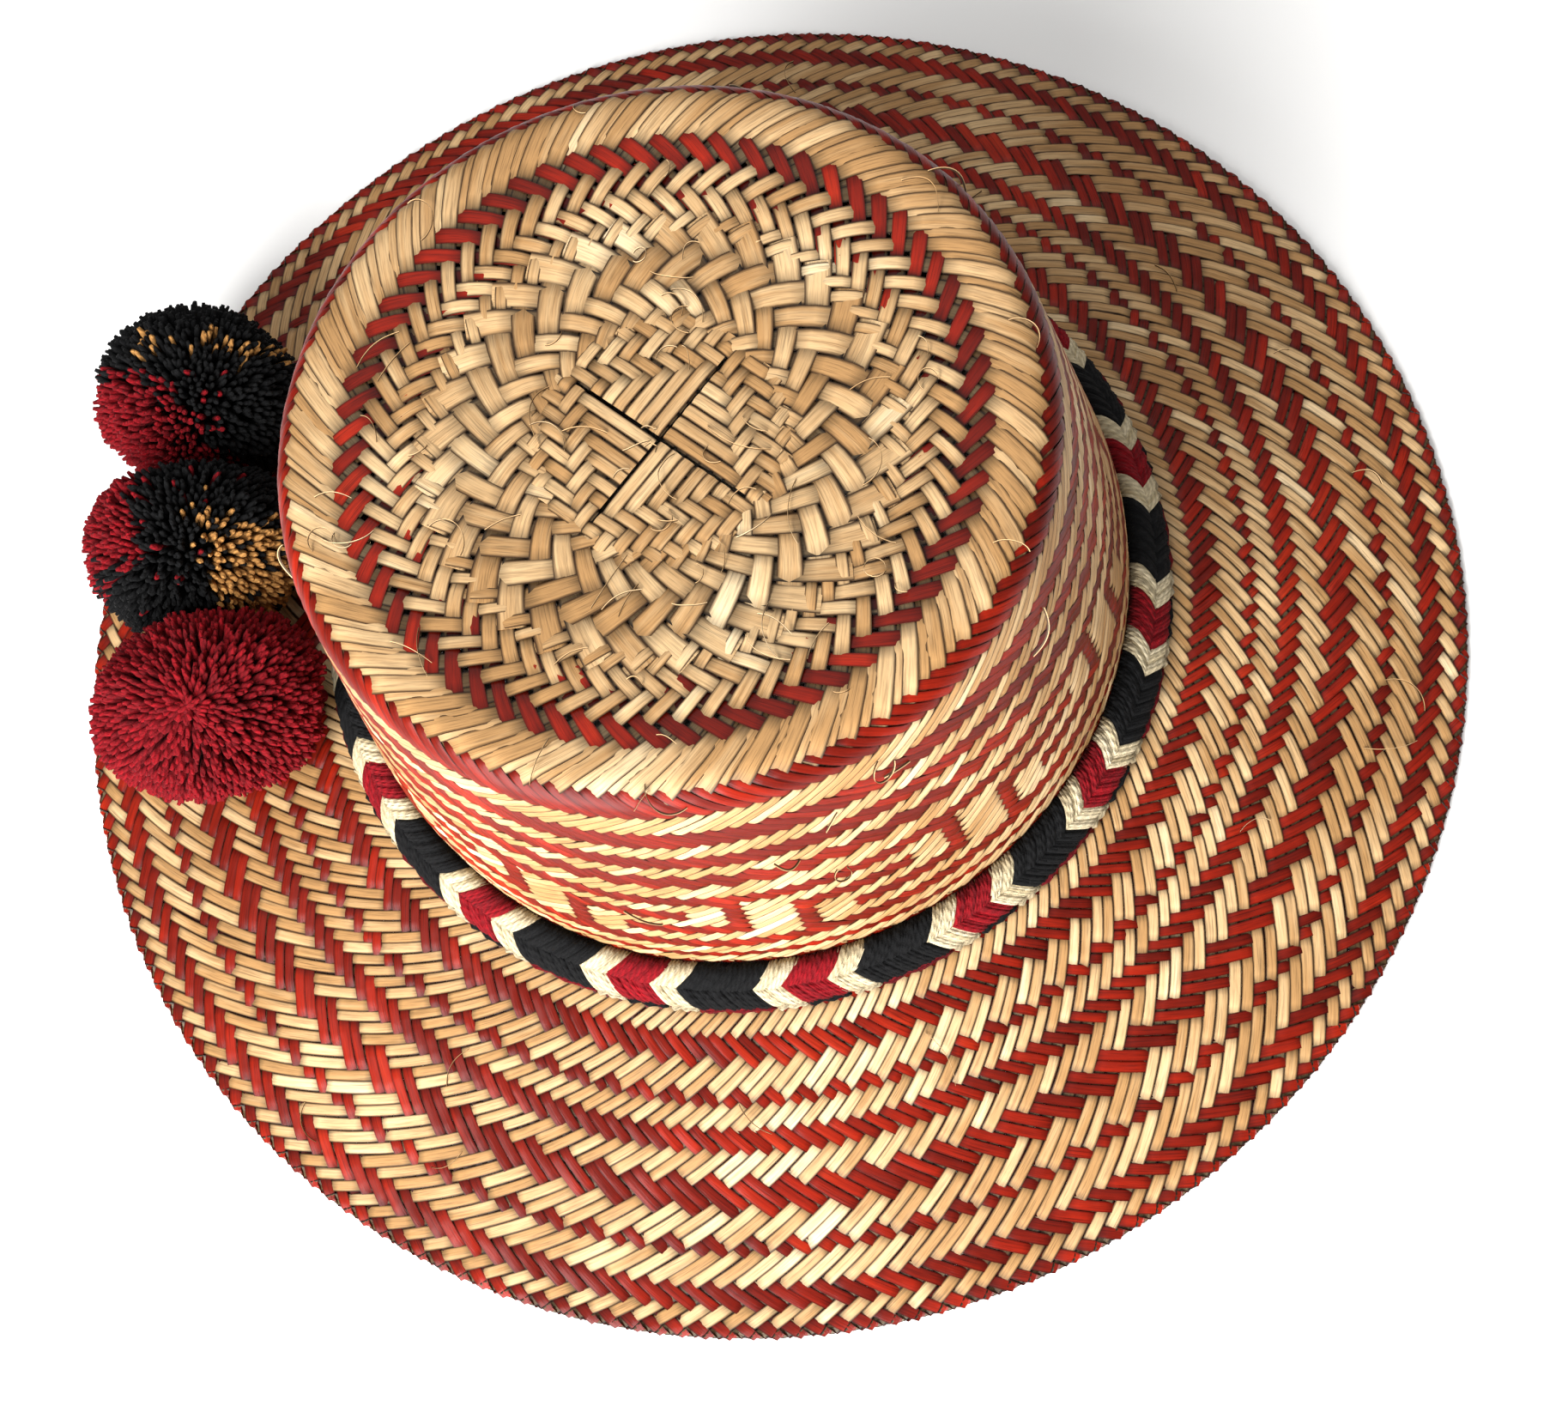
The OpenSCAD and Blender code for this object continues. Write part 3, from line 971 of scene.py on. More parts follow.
        # None of them starts under the band
        first += 45 * (np.abs(first - self.form.root_along) < 30)
        turn = rng.uniform(0, 2 * math.pi, count)[:, None]
        heading = rng.uniform(0, 2 * math.pi, count)[:, None]
        heading = heading + rng.normal(0, 2.2, count)[:, None] * part
        stride = rng.uniform(4, 15, count)[:, None] / steps
        along = np.clip(first[:, None] + np.cumsum(np.cos(heading), axis=1) * stride, 2, limit)
        r, z, out, up = self.form.at(along)
        angle = turn + np.cumsum(np.sin(heading), axis=1) * stride / np.maximum(r, 8)
        lift = 0.9 + rng.uniform(0.2, 2.2, count)[:, None] * np.sin(math.pi * part)
        across, ahead = np.cos(angle), np.sin(angle)
        far = r + out * lift
        centre = np.stack([far * across, far * ahead, z + up * lift], axis=2)
        centre += self.form.drift(along)
        normal = np.stack([out * across, out * ahead, up], axis=2)
        flat = np.ones((count, steps + 1))
        obj = lay_splints("loose_fibres", SplintMaster(steps), centre, normal, self.whisker_r * flat,
                          flat, 0 * flat, rng.uniform(0.1, 0.6, count), rng.uniform(0, GRAIN_RUN, count))
        self.dress(obj, Colour.NATURAL)

    def build_tip(self) -> None:
        """Lays the rings of the flat top, inner ones first."""
        # Each ring shows two crossings of one set, then two of the other, and
        # each level lies further out than the last by the plait's growth
        near, far = 0.102, 0.049
        inner = Plait(self.form, self.inner_count, 29 * math.exp(-1.5 * near), 0, True,
                      [Turnover(level) for level in (1.5, 3.5, 5.5)], growth=near)
        outer = Plait(self.form, self.outer_count, 47 * math.exp(-1.5 * far), 0, False,
                      [Turnover(level) for level in (1.5, 3.5, 5.5, 7.5, 9.5, 12.5)], growth=far)
        # On the inner tip both sets are natural; the second leans the other way
        self.dress(inner.splints("tip_inner_back", Colour.NATURAL, 11, (0, 6), 0.93, deeper=0.3),
                   Colour.NATURAL, ["tip_field", "crown_tip_ground"])
        self.dress(inner.splints("tip_inner_fore", Colour.DYED, 12, (0, 7), 0.93, deeper=0.3),
                   Colour.NATURAL)
        self.dress(outer.splints("tip_outer_back", Colour.NATURAL, 13, (0, 14), 0.78, deeper=0.3),
                   Colour.NATURAL, ["tip_long_course"])
        # Narrower splints are laid in beside them to fill the long ring
        self.dress(outer.splints("tip_outer_added", Colour.NATURAL, 15, (8, 14), 0.5, deeper=0.3,
                                 shift=0.47, sink=0.14), Colour.NATURAL)
        # Dyed splints are laid in under the natural ones of the other set
        self.dress(outer.splints("tip_outer_fore", Colour.DYED, 14, (2, 7), 0.88, deeper=0.3),
                   Colour.NATURAL)
        self.dress(outer.splints("tip_outer_dyed", Colour.DYED, 16, (2, 11), 0.7, deeper=0.3,
                                 shift=0.1, sink=0.16), Colour.DYED, ["tip_red_course"])

    def build_wall(self) -> None:
        """Lays the shoulder and the wall, with the fret, down to the crown's foot."""
        top = self.form.wall_along(self.fret_top)
        foot = self.form.wall_along(self.fret_foot)
        # Levels above the fret, and levels that it takes up
        before = 41
        fret = Fret(before, math.radians(self.fret_turn))
        taken = fret.rows * fret.levels_per_row
        spacing = (foot - top) / taken
        start = top - (before - 0.5) * spacing
        upper = rows_to_turnovers(5, (5, 6, 5, 4, 4))
        # The last two rows above the fret are plaited with doubled splints
        wide = [doubled_turnover(before - 9), doubled_turnover(before - 5)]
        lower = rows_to_turnovers(before + taken, (4, 2))
        scallop = [doubled_turnover(before + 30), Turnover(before + 31.5)]
        levels = int((self.form.root_along + 2 - start) / spacing)
        plait = Plait(self.form, self.wall_count, start, spacing, True,
                      upper + wide + [Turnover(before - 0.5)] + lower + scallop, fret=fret)
        self.lay_halves(plait, "wall", levels, 0.3, (
            SplintSet(Colour.NATURAL, 21, 8, 0.97, 7, (
                "wall_natural_courses", "fret_natural", "foot_natural_courses",
                "crown_wall_ground", "crown_foot_ground")),
            SplintSet(Colour.DYED, 22, 2, 0.9, 9, (
                "wall_red_courses", "fret_red", "foot_red_courses", "shoulder_course",
                "shoulder_ground"))))

    def build_brim(self) -> None:
        """Lays the brim out to its rim and round the fold."""
        edge = self.form.brim_along(self.form.rim_r - 3.5)
        # Distance along the profile for each millimetre of radius
        stretch = (self.form.brim_along(150) - self.form.brim_along(140)) / 10
        spacing = self.brim_pair / 6 * stretch
        before = int((edge - self.form.root_along + 5) / spacing) + 1
        before += before % 2
        start = edge - (before - 0.5) * spacing
        # Rows from the rim inwards, natural and dyed in turn, in levels
        rows = [2, 3, 4, 2, 4, 4, 3, 3, 3, 2, 4, 3] + [3] * ((before - 38) // 3)
        doubled = (4, 5, 6, 10, 11)
        edges = np.concatenate([[0], np.cumsum(rows)])
        turnovers = [doubled_turnover(before - int(edge)) if place in doubled
                     else Turnover(before - float(edge) - 0.5) for place, edge in enumerate(edges)]
        levels = int((self.form.along[-1] - start) / spacing)
        plait = Plait(self.form, self.brim_count, start, spacing, len(edges) % 2 == 1, turnovers)
        self.lay_halves(plait, "brim", levels, 0.0, (
            SplintSet(Colour.NATURAL, 31, 0, 0.99, 8, (
                "brim_natural_courses", "brim_wide_natural", "brim_ground")),
            SplintSet(Colour.DYED, 32, 0, 0.9, 10, (
                "brim_red_courses", "brim_wide_red", "brim_edge"))))


# ---------------------------------------------------------------- wool


@dataclass(frozen=True)
class YarnFinish:
    """Two-ply wool or cotton yarn, spun, dyed and left matt.

    The plies twist round each other every 2 to 3 mm, which shows as slanting
    ridges. Fine hairs stand off all over, so the edges look soft, and the shade
    deep between the strands is painted as a darker colour towards each yarn's root.
    """

    name: str
    light: str
    dark: str
    # Colour of the painted shade at each yarn's root and in a pompom's heart
    deep: str
    sheen: float = 0.25
    twist_mm: float = 2.2
    ridge: float = 0.8
    ridge_depth_mm: float = 0.25
    fuzz_mm: float = 0.3125

    def build(self) -> bpy.types.Material:
        """Builds the material.

        Returns:
            A material that reads the piece's UV map (turns round, metres along) and point attributes.
        """
        material = new_material(self.name)
        tree = material.node_tree
        uv = add_node(tree, "ShaderNodeUVMap", uv_map="Strand")
        parts = add_node(tree, "ShaderNodeSeparateXYZ", {"Vector": uv.outputs[0]})
        tone, lift = (add_node(tree, "ShaderNodeAttribute", attribute_name=name).outputs["Fac"]
                      for name in ("tone", "lift"))
        place = add_node(tree, "ShaderNodeTexCoord").outputs["Object"]
        # Two ridges for each turn round the strand, climbing with the twist
        climb = add_node(tree, "ShaderNodeMath", {0: parts.outputs[1], 1: 1 / (self.twist_mm * MM)},
                         operation="MULTIPLY")
        phase = add_node(tree, "ShaderNodeMath", {0: parts.outputs[0], 1: 2.0, 2: climb.outputs[0]},
                         operation="MULTIPLY_ADD")
        angle = add_node(tree, "ShaderNodeMath", {0: phase.outputs[0], 1: 2 * math.pi},
                         operation="MULTIPLY")
        ridge = add_node(tree, "ShaderNodeMath", {0: angle.outputs[0]}, operation="SINE")
        fuzz = add_node(tree, "ShaderNodeTexNoise", {
            "Vector": place, "Scale": 1 / (self.fuzz_mm * MM), "Detail": 3.0})
        mixed = add_node(tree, "ShaderNodeMath", {0: ridge.outputs[0], 1: 0.5, 2: fuzz.outputs[0]},
                         operation="MULTIPLY_ADD")
        bump = add_node(tree, "ShaderNodeBump", {
            "Strength": self.ridge, "Distance": self.ridge_depth_mm * MM, "Height": mixed.outputs[0]})
        # Partly painted shade: the colour is darker in the grooves between the plies, and the fuzz adds
        # random tone
        grain = add_node(tree, "ShaderNodeMapRange", {
            "Value": mixed.outputs[0], "To Min": 0.72, "To Max": 1.08})
        shade = add_node(tree, "ShaderNodeMapRange", {"Value": tone, "From Min": -0.6, "From Max": 0.6})
        body = add_node(tree, "ShaderNodeMix", {
            MIX_SHARE: shade.outputs[0], MIX_FIRST: linear(self.dark), MIX_SECOND: linear(self.light)},
            data_type="RGBA")
        # Painted shade: the yarn's root is darkened, where neighbours keep the light out
        depth = add_node(tree, "ShaderNodeMapRange", {"Value": lift, "From Min": 0.2, "From Max": 0.95})
        painted_shade = add_node(tree, "ShaderNodeMix", {
            MIX_SHARE: depth.outputs[0], MIX_FIRST: linear(self.deep),
            MIX_SECOND: body.outputs[MIX_RESULT]}, data_type="RGBA")
        final = add_node(tree, "ShaderNodeMix", {
            MIX_SHARE: 1.0, MIX_FIRST: painted_shade.outputs[MIX_RESULT], MIX_SECOND: grain.outputs[0]},
            data_type="RGBA", blend_type="MULTIPLY")
        shader = add_node(tree, "ShaderNodeBsdfPrincipled", {
            "Base Color": final.outputs[MIX_RESULT], "Roughness": 0.9, "Normal": bump.outputs[0],
            "Specular IOR Level": 0.2, "Sheen Weight": self.sheen, "Sheen Roughness": 0.5,
            "Sheen Tint": linear(self.light)})
        add_node(tree, "ShaderNodeOutputMaterial", {"Surface": shader.outputs[0]})
        return material


class StrandMaster:
    """One straight strand of yarn, modelled once, that every yarn copies.

    Its section is a closed ring of unit radius and it has a number of equal
    lengths, with a cap at each end.
    """

    def __init__(self, steps: int, sides: int = 6) -> None:
        """Models the strand.

        Args:
            steps: lengths along it.
            sides: faces round it.
        """
        deselect_all()
        bpy.ops.mesh.primitive_circle_add(vertices=sides, radius=1, fill_type="TRIFAN")
        strand = bpy.context.object
        edit_all()
        for _ in range(steps):
            bpy.ops.mesh.extrude_region_move(TRANSFORM_OT_translate={"value": (0, 0, 1)})
        bpy.ops.mesh.select_all(action="SELECT")
        bpy.ops.mesh.normals_make_consistent(inside=False)
        bpy.ops.object.mode_set(mode="OBJECT")
        mesh = strand.data
        self.place = read_all(mesh.vertices, "co", 3)
        self.step = np.clip(np.rint(self.place[:, 2]), 0, steps).astype(int)
        self.corners = read_all(mesh.loops, "vertex_index", kind=np.int64)
        self.sizes = read_all(mesh.polygons, "loop_total", kind=np.int64)
        turn = np.arctan2(self.place[:, 1], self.place[:, 0])[self.corners] / (2 * math.pi)
        starts = np.concatenate([[0], np.cumsum(self.sizes)[:-1]])
        for first, size in zip(starts, self.sizes):
            part = turn[first:first + size]
            if part.max() - part.min() > 0.5:
                part[part < 0] += 1
        self.turn = turn
        remove(strand)


def lay_yarns(name: str, master: StrandMaster, centre: np.ndarray, normal: np.ndarray,
              radius: np.ndarray, lift: np.ndarray, tone: np.ndarray,
              rng: np.random.Generator) -> bpy.types.Object:
    """Copies the strand along many paths at once.

    Args:
        name: object name.
        master: the straight strand.
        centre: path points in millimetres, yarns by steps by 3.
        normal: a side direction at those points, not along the path.
        radius: radius at each, in millimetres.
        lift: 0 deep inside the work, 1 at its surface.
        tone: one shade for each yarn.
        rng: seeded random source.

    Returns:
        The mesh object, with all the yarns.
    """
    side, up, gone = path_frames(centre, normal)
    k = master.step
    x, y = master.place[:, 0], master.place[:, 1]
    wide = radius[:, k][..., None]
    points = centre[:, k] + wide * (up[:, k] * x[None, :, None] + side[:, k] * y[None, :, None])
    count, size = len(centre), len(x)
    corners = (master.corners[None] + (np.arange(count) * size)[:, None]).ravel()
    start = rng.uniform(0, 50, count)
    v = ((gone[:, k] + start[:, None]) * MM).ravel()[corners]
    u = np.tile(master.turn, count)
    values = {"tone": np.repeat(tone, size), "lift": lift[:, k].ravel()}
    return mesh_object(name, points.reshape(-1, 3) * MM, corners, np.tile(master.sizes, count),
                       np.stack([u, v], axis=1), values)


class Wool(Enum):
    """Yarn colours, with the material slot of each."""

    RED = "wool_red"
    BLACK = "wool_black"
    ECRU = "wool_ecru"
    TAN = "wool_tan"


@dataclass
class WoolBand:
    """Flat braid round the crown's foot: black and red blocks with ecru chevrons between."""

    yarns: dict[Wool, bpy.types.Material]
    width: float = 12.0
    thickness: float = 3.4
    lean: float = 42.0
    units: int = 15
    chevron: float = 5.0
    arm_strands: int = 5
    ply_r: float = 0.62
    black_ply_r: float = 0.78
    # Colour of each chevron row of a repeat, in order round the band
    rows: Sequence[Wool] = (Wool.BLACK,) * 5 + (Wool.ECRU,) * 2 + (Wool.RED,) * 3 + (Wool.ECRU,) * 2
    # First and last place, in shares of a repeat, of the strands under the outer edge
    under: Sequence[tuple[float, float, Wool]] = (
        (-0.04, 0.37, Wool.RED), (0.38, 0.54, Wool.ECRU), (0.55, 0.78, Wool.BLACK),
        (0.80, 0.95, Wool.ECRU))

    def build(self) -> None:
        """Braids the band, one piece for each colour."""
        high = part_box("band_black")[1]
        lean = math.radians(self.lean)
        self.across = np.array([-math.cos(lean), math.sin(lean)])
        self.normal = np.array([math.sin(lean), math.cos(lean)])
        outer = max(high.x, high.y) / MM
        top = high.z / MM
        # The plies stand a little proud of the solid band
        proud = np.array([0.9, 0.5])
        reach = [self.width / 2 * math.cos(lean) + self.thickness / 2 * math.sin(lean),
                 self.width / 2 * math.sin(lean) + self.thickness / 2 * math.cos(lean)]
        self.middle = np.array([outer, top]) - reach + proud
        rng = np.random.default_rng(SEED + 51)
        for wool, node in ((Wool.BLACK, "band_black"), (Wool.ECRU, "band_ecru"), (Wool.RED, "band_red")):
            centre, normal, radius, lift = self.arms(wool, rng)
            obj = lay_yarns(f"band_{wool.name.lower()}_plies", StrandMaster(centre.shape[1] - 1),
                            centre, normal, radius, lift, shades(rng, len(centre)), rng)
            finish_piece(obj, "band", self.yarns[wool], [node])

    def point(self, turn: np.ndarray, w: np.ndarray, h: np.ndarray) -> np.ndarray:
        """Places in the band.

        Args:
            turn: angle round the axis, in radians.
            w: place across, positive towards the crown, in millimetres.
            h: height over the band's middle, in millimetres.

        Returns:
            Points in millimetres.
        """
        r = self.middle[0] + w * self.across[0] + h * self.normal[0]
        z = self.middle[1] + w * self.across[1] + h * self.normal[1]
        return np.stack([r * np.cos(turn), r * np.sin(turn), z + 0 * turn], axis=-1)

    def strand(self, turn: np.ndarray, w: np.ndarray, h: np.ndarray) -> tuple[np.ndarray, np.ndarray]:
        """Path of a strand through places in the band, and its upward direction."""
        path = self.point(turn, w, h)
        return path, self.point(turn, w, h + 1) - path

    def arms(self, wool: Wool, rng: np.random.Generator) -> list[np.ndarray]:
        """Paths of the strands of one colour.

        Args:
            wool: the colour.
            rng: seeded random source.

        Returns:
            Path points, normals, radii and lifts.
        """
        repeat = 2 * math.pi / self.units
        length = repeat * self.middle[0]
        t = np.linspace(0, 1, 10)
        pitch = length / len(self.rows)
        ply_r = self.black_ply_r if wool is Wool.BLACK else self.ply_r
        strands = []
        for unit_index in range(self.units):
            for row, colour in enumerate(self.rows):
                if colour is not wool:
                    continue
                for side in (-1, 1):
                    for k in np.arange(self.arm_strands) / (self.arm_strands - 1) * 2 - 1:
                        place = row / len(self.rows) * length + k * pitch * 0.46
                        place += rng.uniform(-0.15, 0.15)
                        back = self.chevron * (t - 0.5) * 1.15 * (1 + 0.05 * k)
                        w = side * (-0.7 + t * (self.width / 2 + 0.5 - 0.35 * abs(k)))
                        # Each strand domes over the braid and dives under its outer edge
                        dome = np.sin(math.pi * np.clip(t * 0.92 + 0.1, 0, 1)) ** 0.8
                        h = (self.thickness / 2 - 0.75) * (dome * 1.25 - 0.35) - 0.35 * k * k
                        h = h + rng.uniform(-0.1, 0.1) - 1.6 * np.clip(t - 0.85, 0, 1) / 0.15
                        turn = unit_index * repeat + (place + back) / self.middle[0]
                        radius = ply_r * np.clip(np.minimum(t, 1 - t) * 6 + 0.55, 0, 1)
                        # Painted shade: each strand darkens where it dives under the braid's edge
                        lift = np.clip(0.55 + 0.45 * dome, 0, 1)
                        strands.append((*self.strand(turn, w, h), radius, lift))
        # Strands of another colour lie under the outer edge of each row
        for unit_index in range(self.units):
            for first, last, colour in self.under:
                if colour is not wool:
                    continue
                for depth in (0, 1):
                    run = first + (last - first) * t
                    turn = unit_index * repeat + (run * length + 3.0) / self.middle[0]
                    w = -self.width / 2 - 0.1 + 0.6 * depth - 0.25 * np.sin(t * math.pi * 5 + depth)
                    h = -self.thickness / 2 + 0.75 + 0.35 * np.sin(t * math.pi * 4)
                    radius = self.ply_r * np.clip(np.minimum(t, 1 - t) * 6 + 0.5, 0, 1)
                    # Painted shade: the strands under the edge are painted partly in the shade colour
                    strands.append((*self.strand(turn, w, h), radius, np.full(len(t), 0.6)))
        return [np.array(column) for column in zip(*strands)]


def brim_height(radius: np.ndarray) -> np.ndarray:
    """Height of the brim's upper side at a radius, both in millimetres."""
    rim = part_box("brim_edge")[1] / MM
    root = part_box("brim_red_courses")[1] / MM
    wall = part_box("foot_natural_courses")[1].x / MM
    edge_width, edge_height = 3.5, 2.8
    inner = rim.x - edge_width
    return edge_height + (root.z - edge_height) * (inner - radius) / (inner - wall)


@dataclass
class Pompom:
    """Ball of cut yarn ends round a tied core, with a knotted tie to the band."""

    name: str
    body: str
    nodes: Sequence[str]
    yarns: dict[Wool, bpy.types.Material]
    choose: Callable[[np.ndarray, np.random.Generator], np.ndarray]
    dimple: tuple[float, float, float]
    seed: int
    beside: Sequence[str] = ()
    ends: int = 2500
    radial: float = 27.5
    lateral: float = 22.5
    upright: float = 22.0
    shift: tuple[float, float, float] = (0.0, 0.0, 2.5)
    yarn_r: float = 0.72
    # How strongly the ends part at the dimple, and how deep it is
    parting: float = 1.7
    dimple_depth: float = 0.13
    # Height of the band's top, and the radii outside it and outside the wall
    band_top: float = 41.0
    band_clear_r: float = 106.5
    wall_clear_r: float = 96.0
    knot_r: float = 107.0

    def build(self) -> None:
        """Ties the ball and trims it."""
        rng = np.random.default_rng(SEED + self.seed)
        boxes = [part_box(node) for node in self.nodes if not node.endswith("tie")]
        low = np.min([box[0] for box in boxes], axis=0) / MM
        high = np.max([box[1] for box in boxes], axis=0) / MM
        self.centre = (low + high) / 2 + np.array(self.shift)
        out = np.array([self.centre[0], self.centre[1], 0])
        out /= np.linalg.norm(out)
        self.axes = np.stack([out, np.cross([0, 0, 1], out), [0, 0, 1]])
        index = np.arange(self.ends) + 0.5
        polar = np.arccos(1 - 2 * index / self.ends)
        spin = math.pi * (1 + 5 ** 0.5) * index
        across = np.sin(polar)
        ball = np.stack([across * np.cos(spin), across * np.sin(spin), np.cos(polar)], axis=1)
        ball = unit(ball + 0.022 * rng.standard_normal(ball.shape))
        pit = np.array(self.dimple) / np.linalg.norm(self.dimple)
        gap = np.arccos(np.clip(ball @ pit, -1, 1))
        away = ball - (ball @ pit)[:, None] * pit
        away /= np.linalg.norm(away, axis=1, keepdims=True) + 1e-9
        grow = ball + away * (self.parting * np.exp(-(gap / 0.75) ** 2))[:, None]
        grow = unit(grow + 0.12 * rng.standard_normal(grow.shape))
        size = 1 - self.dimple_depth * np.exp(-(gap / 0.5) ** 2) + rng.uniform(-0.035, 0.03, self.ends)
        lumps = np.sin(ball * [5, 6, 5] + [self.seed, 0, 1])
        size += 0.05 * lumps[:, 0] * lumps[:, 1] * lumps[:, 2]
        tip = self.to_world(ball * size[:, None])
        grow = unit(grow * [self.radial, self.lateral, self.upright] @ self.axes)
        tip, kept = self.trim(tip)
        length = rng.uniform(9, 12, self.ends)
        steps = 5
        t = np.linspace(0, 1, steps + 1) ** 0.8
        inward = unit(self.centre - tip)
        root = tip - grow * length[:, None] * 0.75 + inward * length[:, None] * 0.3
        knee = tip - grow * length[:, None] * 0.5
        bends = zip(((1 - t) ** 2, 2 * t * (1 - t), t ** 2), (root, knee, tip))
        path = sum(share[None, :, None] * end[:, None] for share, end in bends)
        path = path + 0.25 * smooth_noise(rng, self.ends, steps + 1, 3)[..., None] * self.axes[1]
        # Each end is untwisted and fatter near its cut tip
        fat = np.array([0.8, 0.85, 0.9, 1.0, 1.08, 0.62])
        radius = self.yarn_r * rng.uniform(0.85, 1.12, (self.ends, 1)) * fat
        # Painted shade: each end darkens from its tip down to its root, deep in the ball
        lift = np.broadcast_to(np.clip(np.linspace(0.05, 1.05, steps + 1), 0, 1), radius.shape)
        normal = np.broadcast_to(self.axes[2] + 0.3 * self.axes[1], path.shape)
        wool = self.choose(tip - self.centre, rng)
        first = True
        for number, colour in enumerate(Wool):
            pick = (wool == number) & kept
            if not pick.any():
                continue
            tone = shades(rng, int(pick.sum()))
            obj = lay_yarns(f"{self.name}_{colour.name.lower()}_ends", StrandMaster(steps), path[pick],
                            normal[pick], radius[pick], lift[pick], tone, rng)
            nodes = [node for node in self.nodes if first or node.endswith(colour.name.lower())]
            finish_piece(obj, self.body, self.yarns[colour], nodes)
            first = False
        self.build_core()
        self.build_tie(rng)

    @property
    def heart(self) -> Wool:
        """Colour of the ball's heart and its tie: red in the ball that is red all over."""
        return Wool.RED if len(self.nodes) == 2 else Wool.BLACK

    def to_world(self, ball: np.ndarray) -> np.ndarray:
        """Turns points of a unit ball to the pompom's own shape and place."""
        return self.centre + ball * [self.radial, self.lateral, self.upright] @ self.axes

    def blocked(self, place: np.ndarray) -> np.ndarray:
        """True where the brim, the band, the crown or the next ball is in the way."""
        r = np.hypot(place[:, 0], place[:, 1])
        wall = np.where(place[:, 2] < self.band_top, self.band_clear_r, self.wall_clear_r)
        low = (place[:, 2] < brim_height(r) + 1.2) | (r < wall)
        for node in self.beside:
            other = np.mean([np.array(corner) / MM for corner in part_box(node)], axis=0)
            gap = other - self.centre
            gap[2] = 0
            reach = np.linalg.norm(gap)
            low |= (place - self.centre) @ (gap / reach) > reach / 2 - 0.7
        return low

    def trim(self, tip: np.ndarray) -> tuple[np.ndarray, np.ndarray]:
        """Presses the ends back where something is in the way.

        Args:
            tip: yarn ends.

        Returns:
            The ends moved clear, and which of them still stand.
        """
        moved = tip.copy()
        for _ in range(60):
            low = self.blocked(moved)
            if not low.any():
                break
            moved[low] += (self.centre - moved[low]) * 0.04
        return moved, np.linalg.norm(moved - self.centre, axis=1) > 7

    def build_core(self) -> None:
        """Models the ball's dense heart, painted in the shade colour to show dark between the yarns."""
        deselect_all()
        bpy.ops.mesh.primitive_ico_sphere_add(subdivisions=4, radius=1)
        core = bpy.context.object
        core.name = f"{self.name}_heart"
        edit_all()
        bpy.ops.transform.vertex_random(offset=0.02, seed=self.seed)
        bpy.ops.object.mode_set(mode="OBJECT")
        points, _ = self.trim(self.to_world(read_all(core.data.vertices, "co", 3) * 0.74))
        core.data.vertices.foreach_set("co", (points * MM).ravel())
        core.data.update()
        # Painted shade: a lift this low gives the heart the yarn's deep shade colour
        values = np.full(len(points), 0.05, dtype=np.float32)
        for key in ("lift", "tone"):
            core.data.attributes.new(key, "FLOAT", "POINT").data.foreach_set("value", values)
        core.data.uv_layers[0].name = "Strand"
        finish_piece(core, self.body, self.yarns[self.heart])

    def build_tie(self, rng: np.random.Generator) -> None:
        """Twists the tie from the band to the ball's heart and knots it.

        Args:
            rng: seeded random source.
        """
        node = next(node for node in self.nodes if node.endswith("tie"))
        out = self.axes[0]
        knot = out * self.knot_r + np.array([0, 0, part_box(node)[0].z / MM + 2.0])
        inner = self.centre - out * 12
        steps = 24
        t = np.linspace(0, 1, steps + 1)
        line = knot + (inner - knot) * t[:, None]
        paths, radii = [], []
        for ply in (0, 1):
            angle = t * 2 * math.pi * 3.2 + ply * math.pi
            twist = np.cos(angle)[:, None] * self.axes[1] + np.sin(angle)[:, None] * self.axes[2]
            paths.append(line + 0.55 * twist)
            radii.append(np.full(steps + 1, 0.62))
        for loop in range(3):
            angle = t * 2 * math.pi
            tilt = loop * 1.05
            across = self.axes[1] * math.cos(tilt) + self.axes[2] * math.sin(tilt)
            ring = np.cos(angle)[:, None] * across + np.sin(angle)[:, None] * out
            paths.append(knot + 1.25 * ring + 0.3 * np.sin(2 * angle)[:, None] * self.axes[2])
            radii.append(np.full(steps + 1, 0.7))
        path = np.array(paths)
        normal = np.broadcast_to(np.array([0.31, 0.17, 0.93]), path.shape)
        obj = lay_yarns(f"{self.name}_tie_yarns", StrandMaster(steps), path, normal, np.array(radii),
                        np.full(path.shape[:2], 0.8), np.zeros(len(path)), rng)
        finish_piece(obj, self.body, self.yarns[self.heart], [node])


def front_colours(place: np.ndarray, rng: np.random.Generator) -> np.ndarray:
    """The front pompom is red all over."""
    return np.zeros(len(place), dtype=int)


def middle_colours(place: np.ndarray, rng: np.random.Generator) -> np.ndarray:
    """Red on the outside, black across the middle and tan by the crown.

    Args:
        place: yarn ends from the ball's centre.
        rng: seeded random source.

    Returns:
        Index of each end's colour.
    """
    x = place[:, 0] + 1.6 * rng.standard_normal(len(place))
    y = place[:, 1] + 1.5 * rng.standard_normal(len(place))
    colour = np.where((x + 0.1 * y < -9) & (y > -11), 0, 1)
    colour = np.where((colour == 1) & (rng.random(len(place)) < 0.03), 0, colour)
    colour = np.where((x > 6 - 0.3 * y) & (y < 2) & (rng.random(len(place)) < 0.85), 3, colour)
    return colour


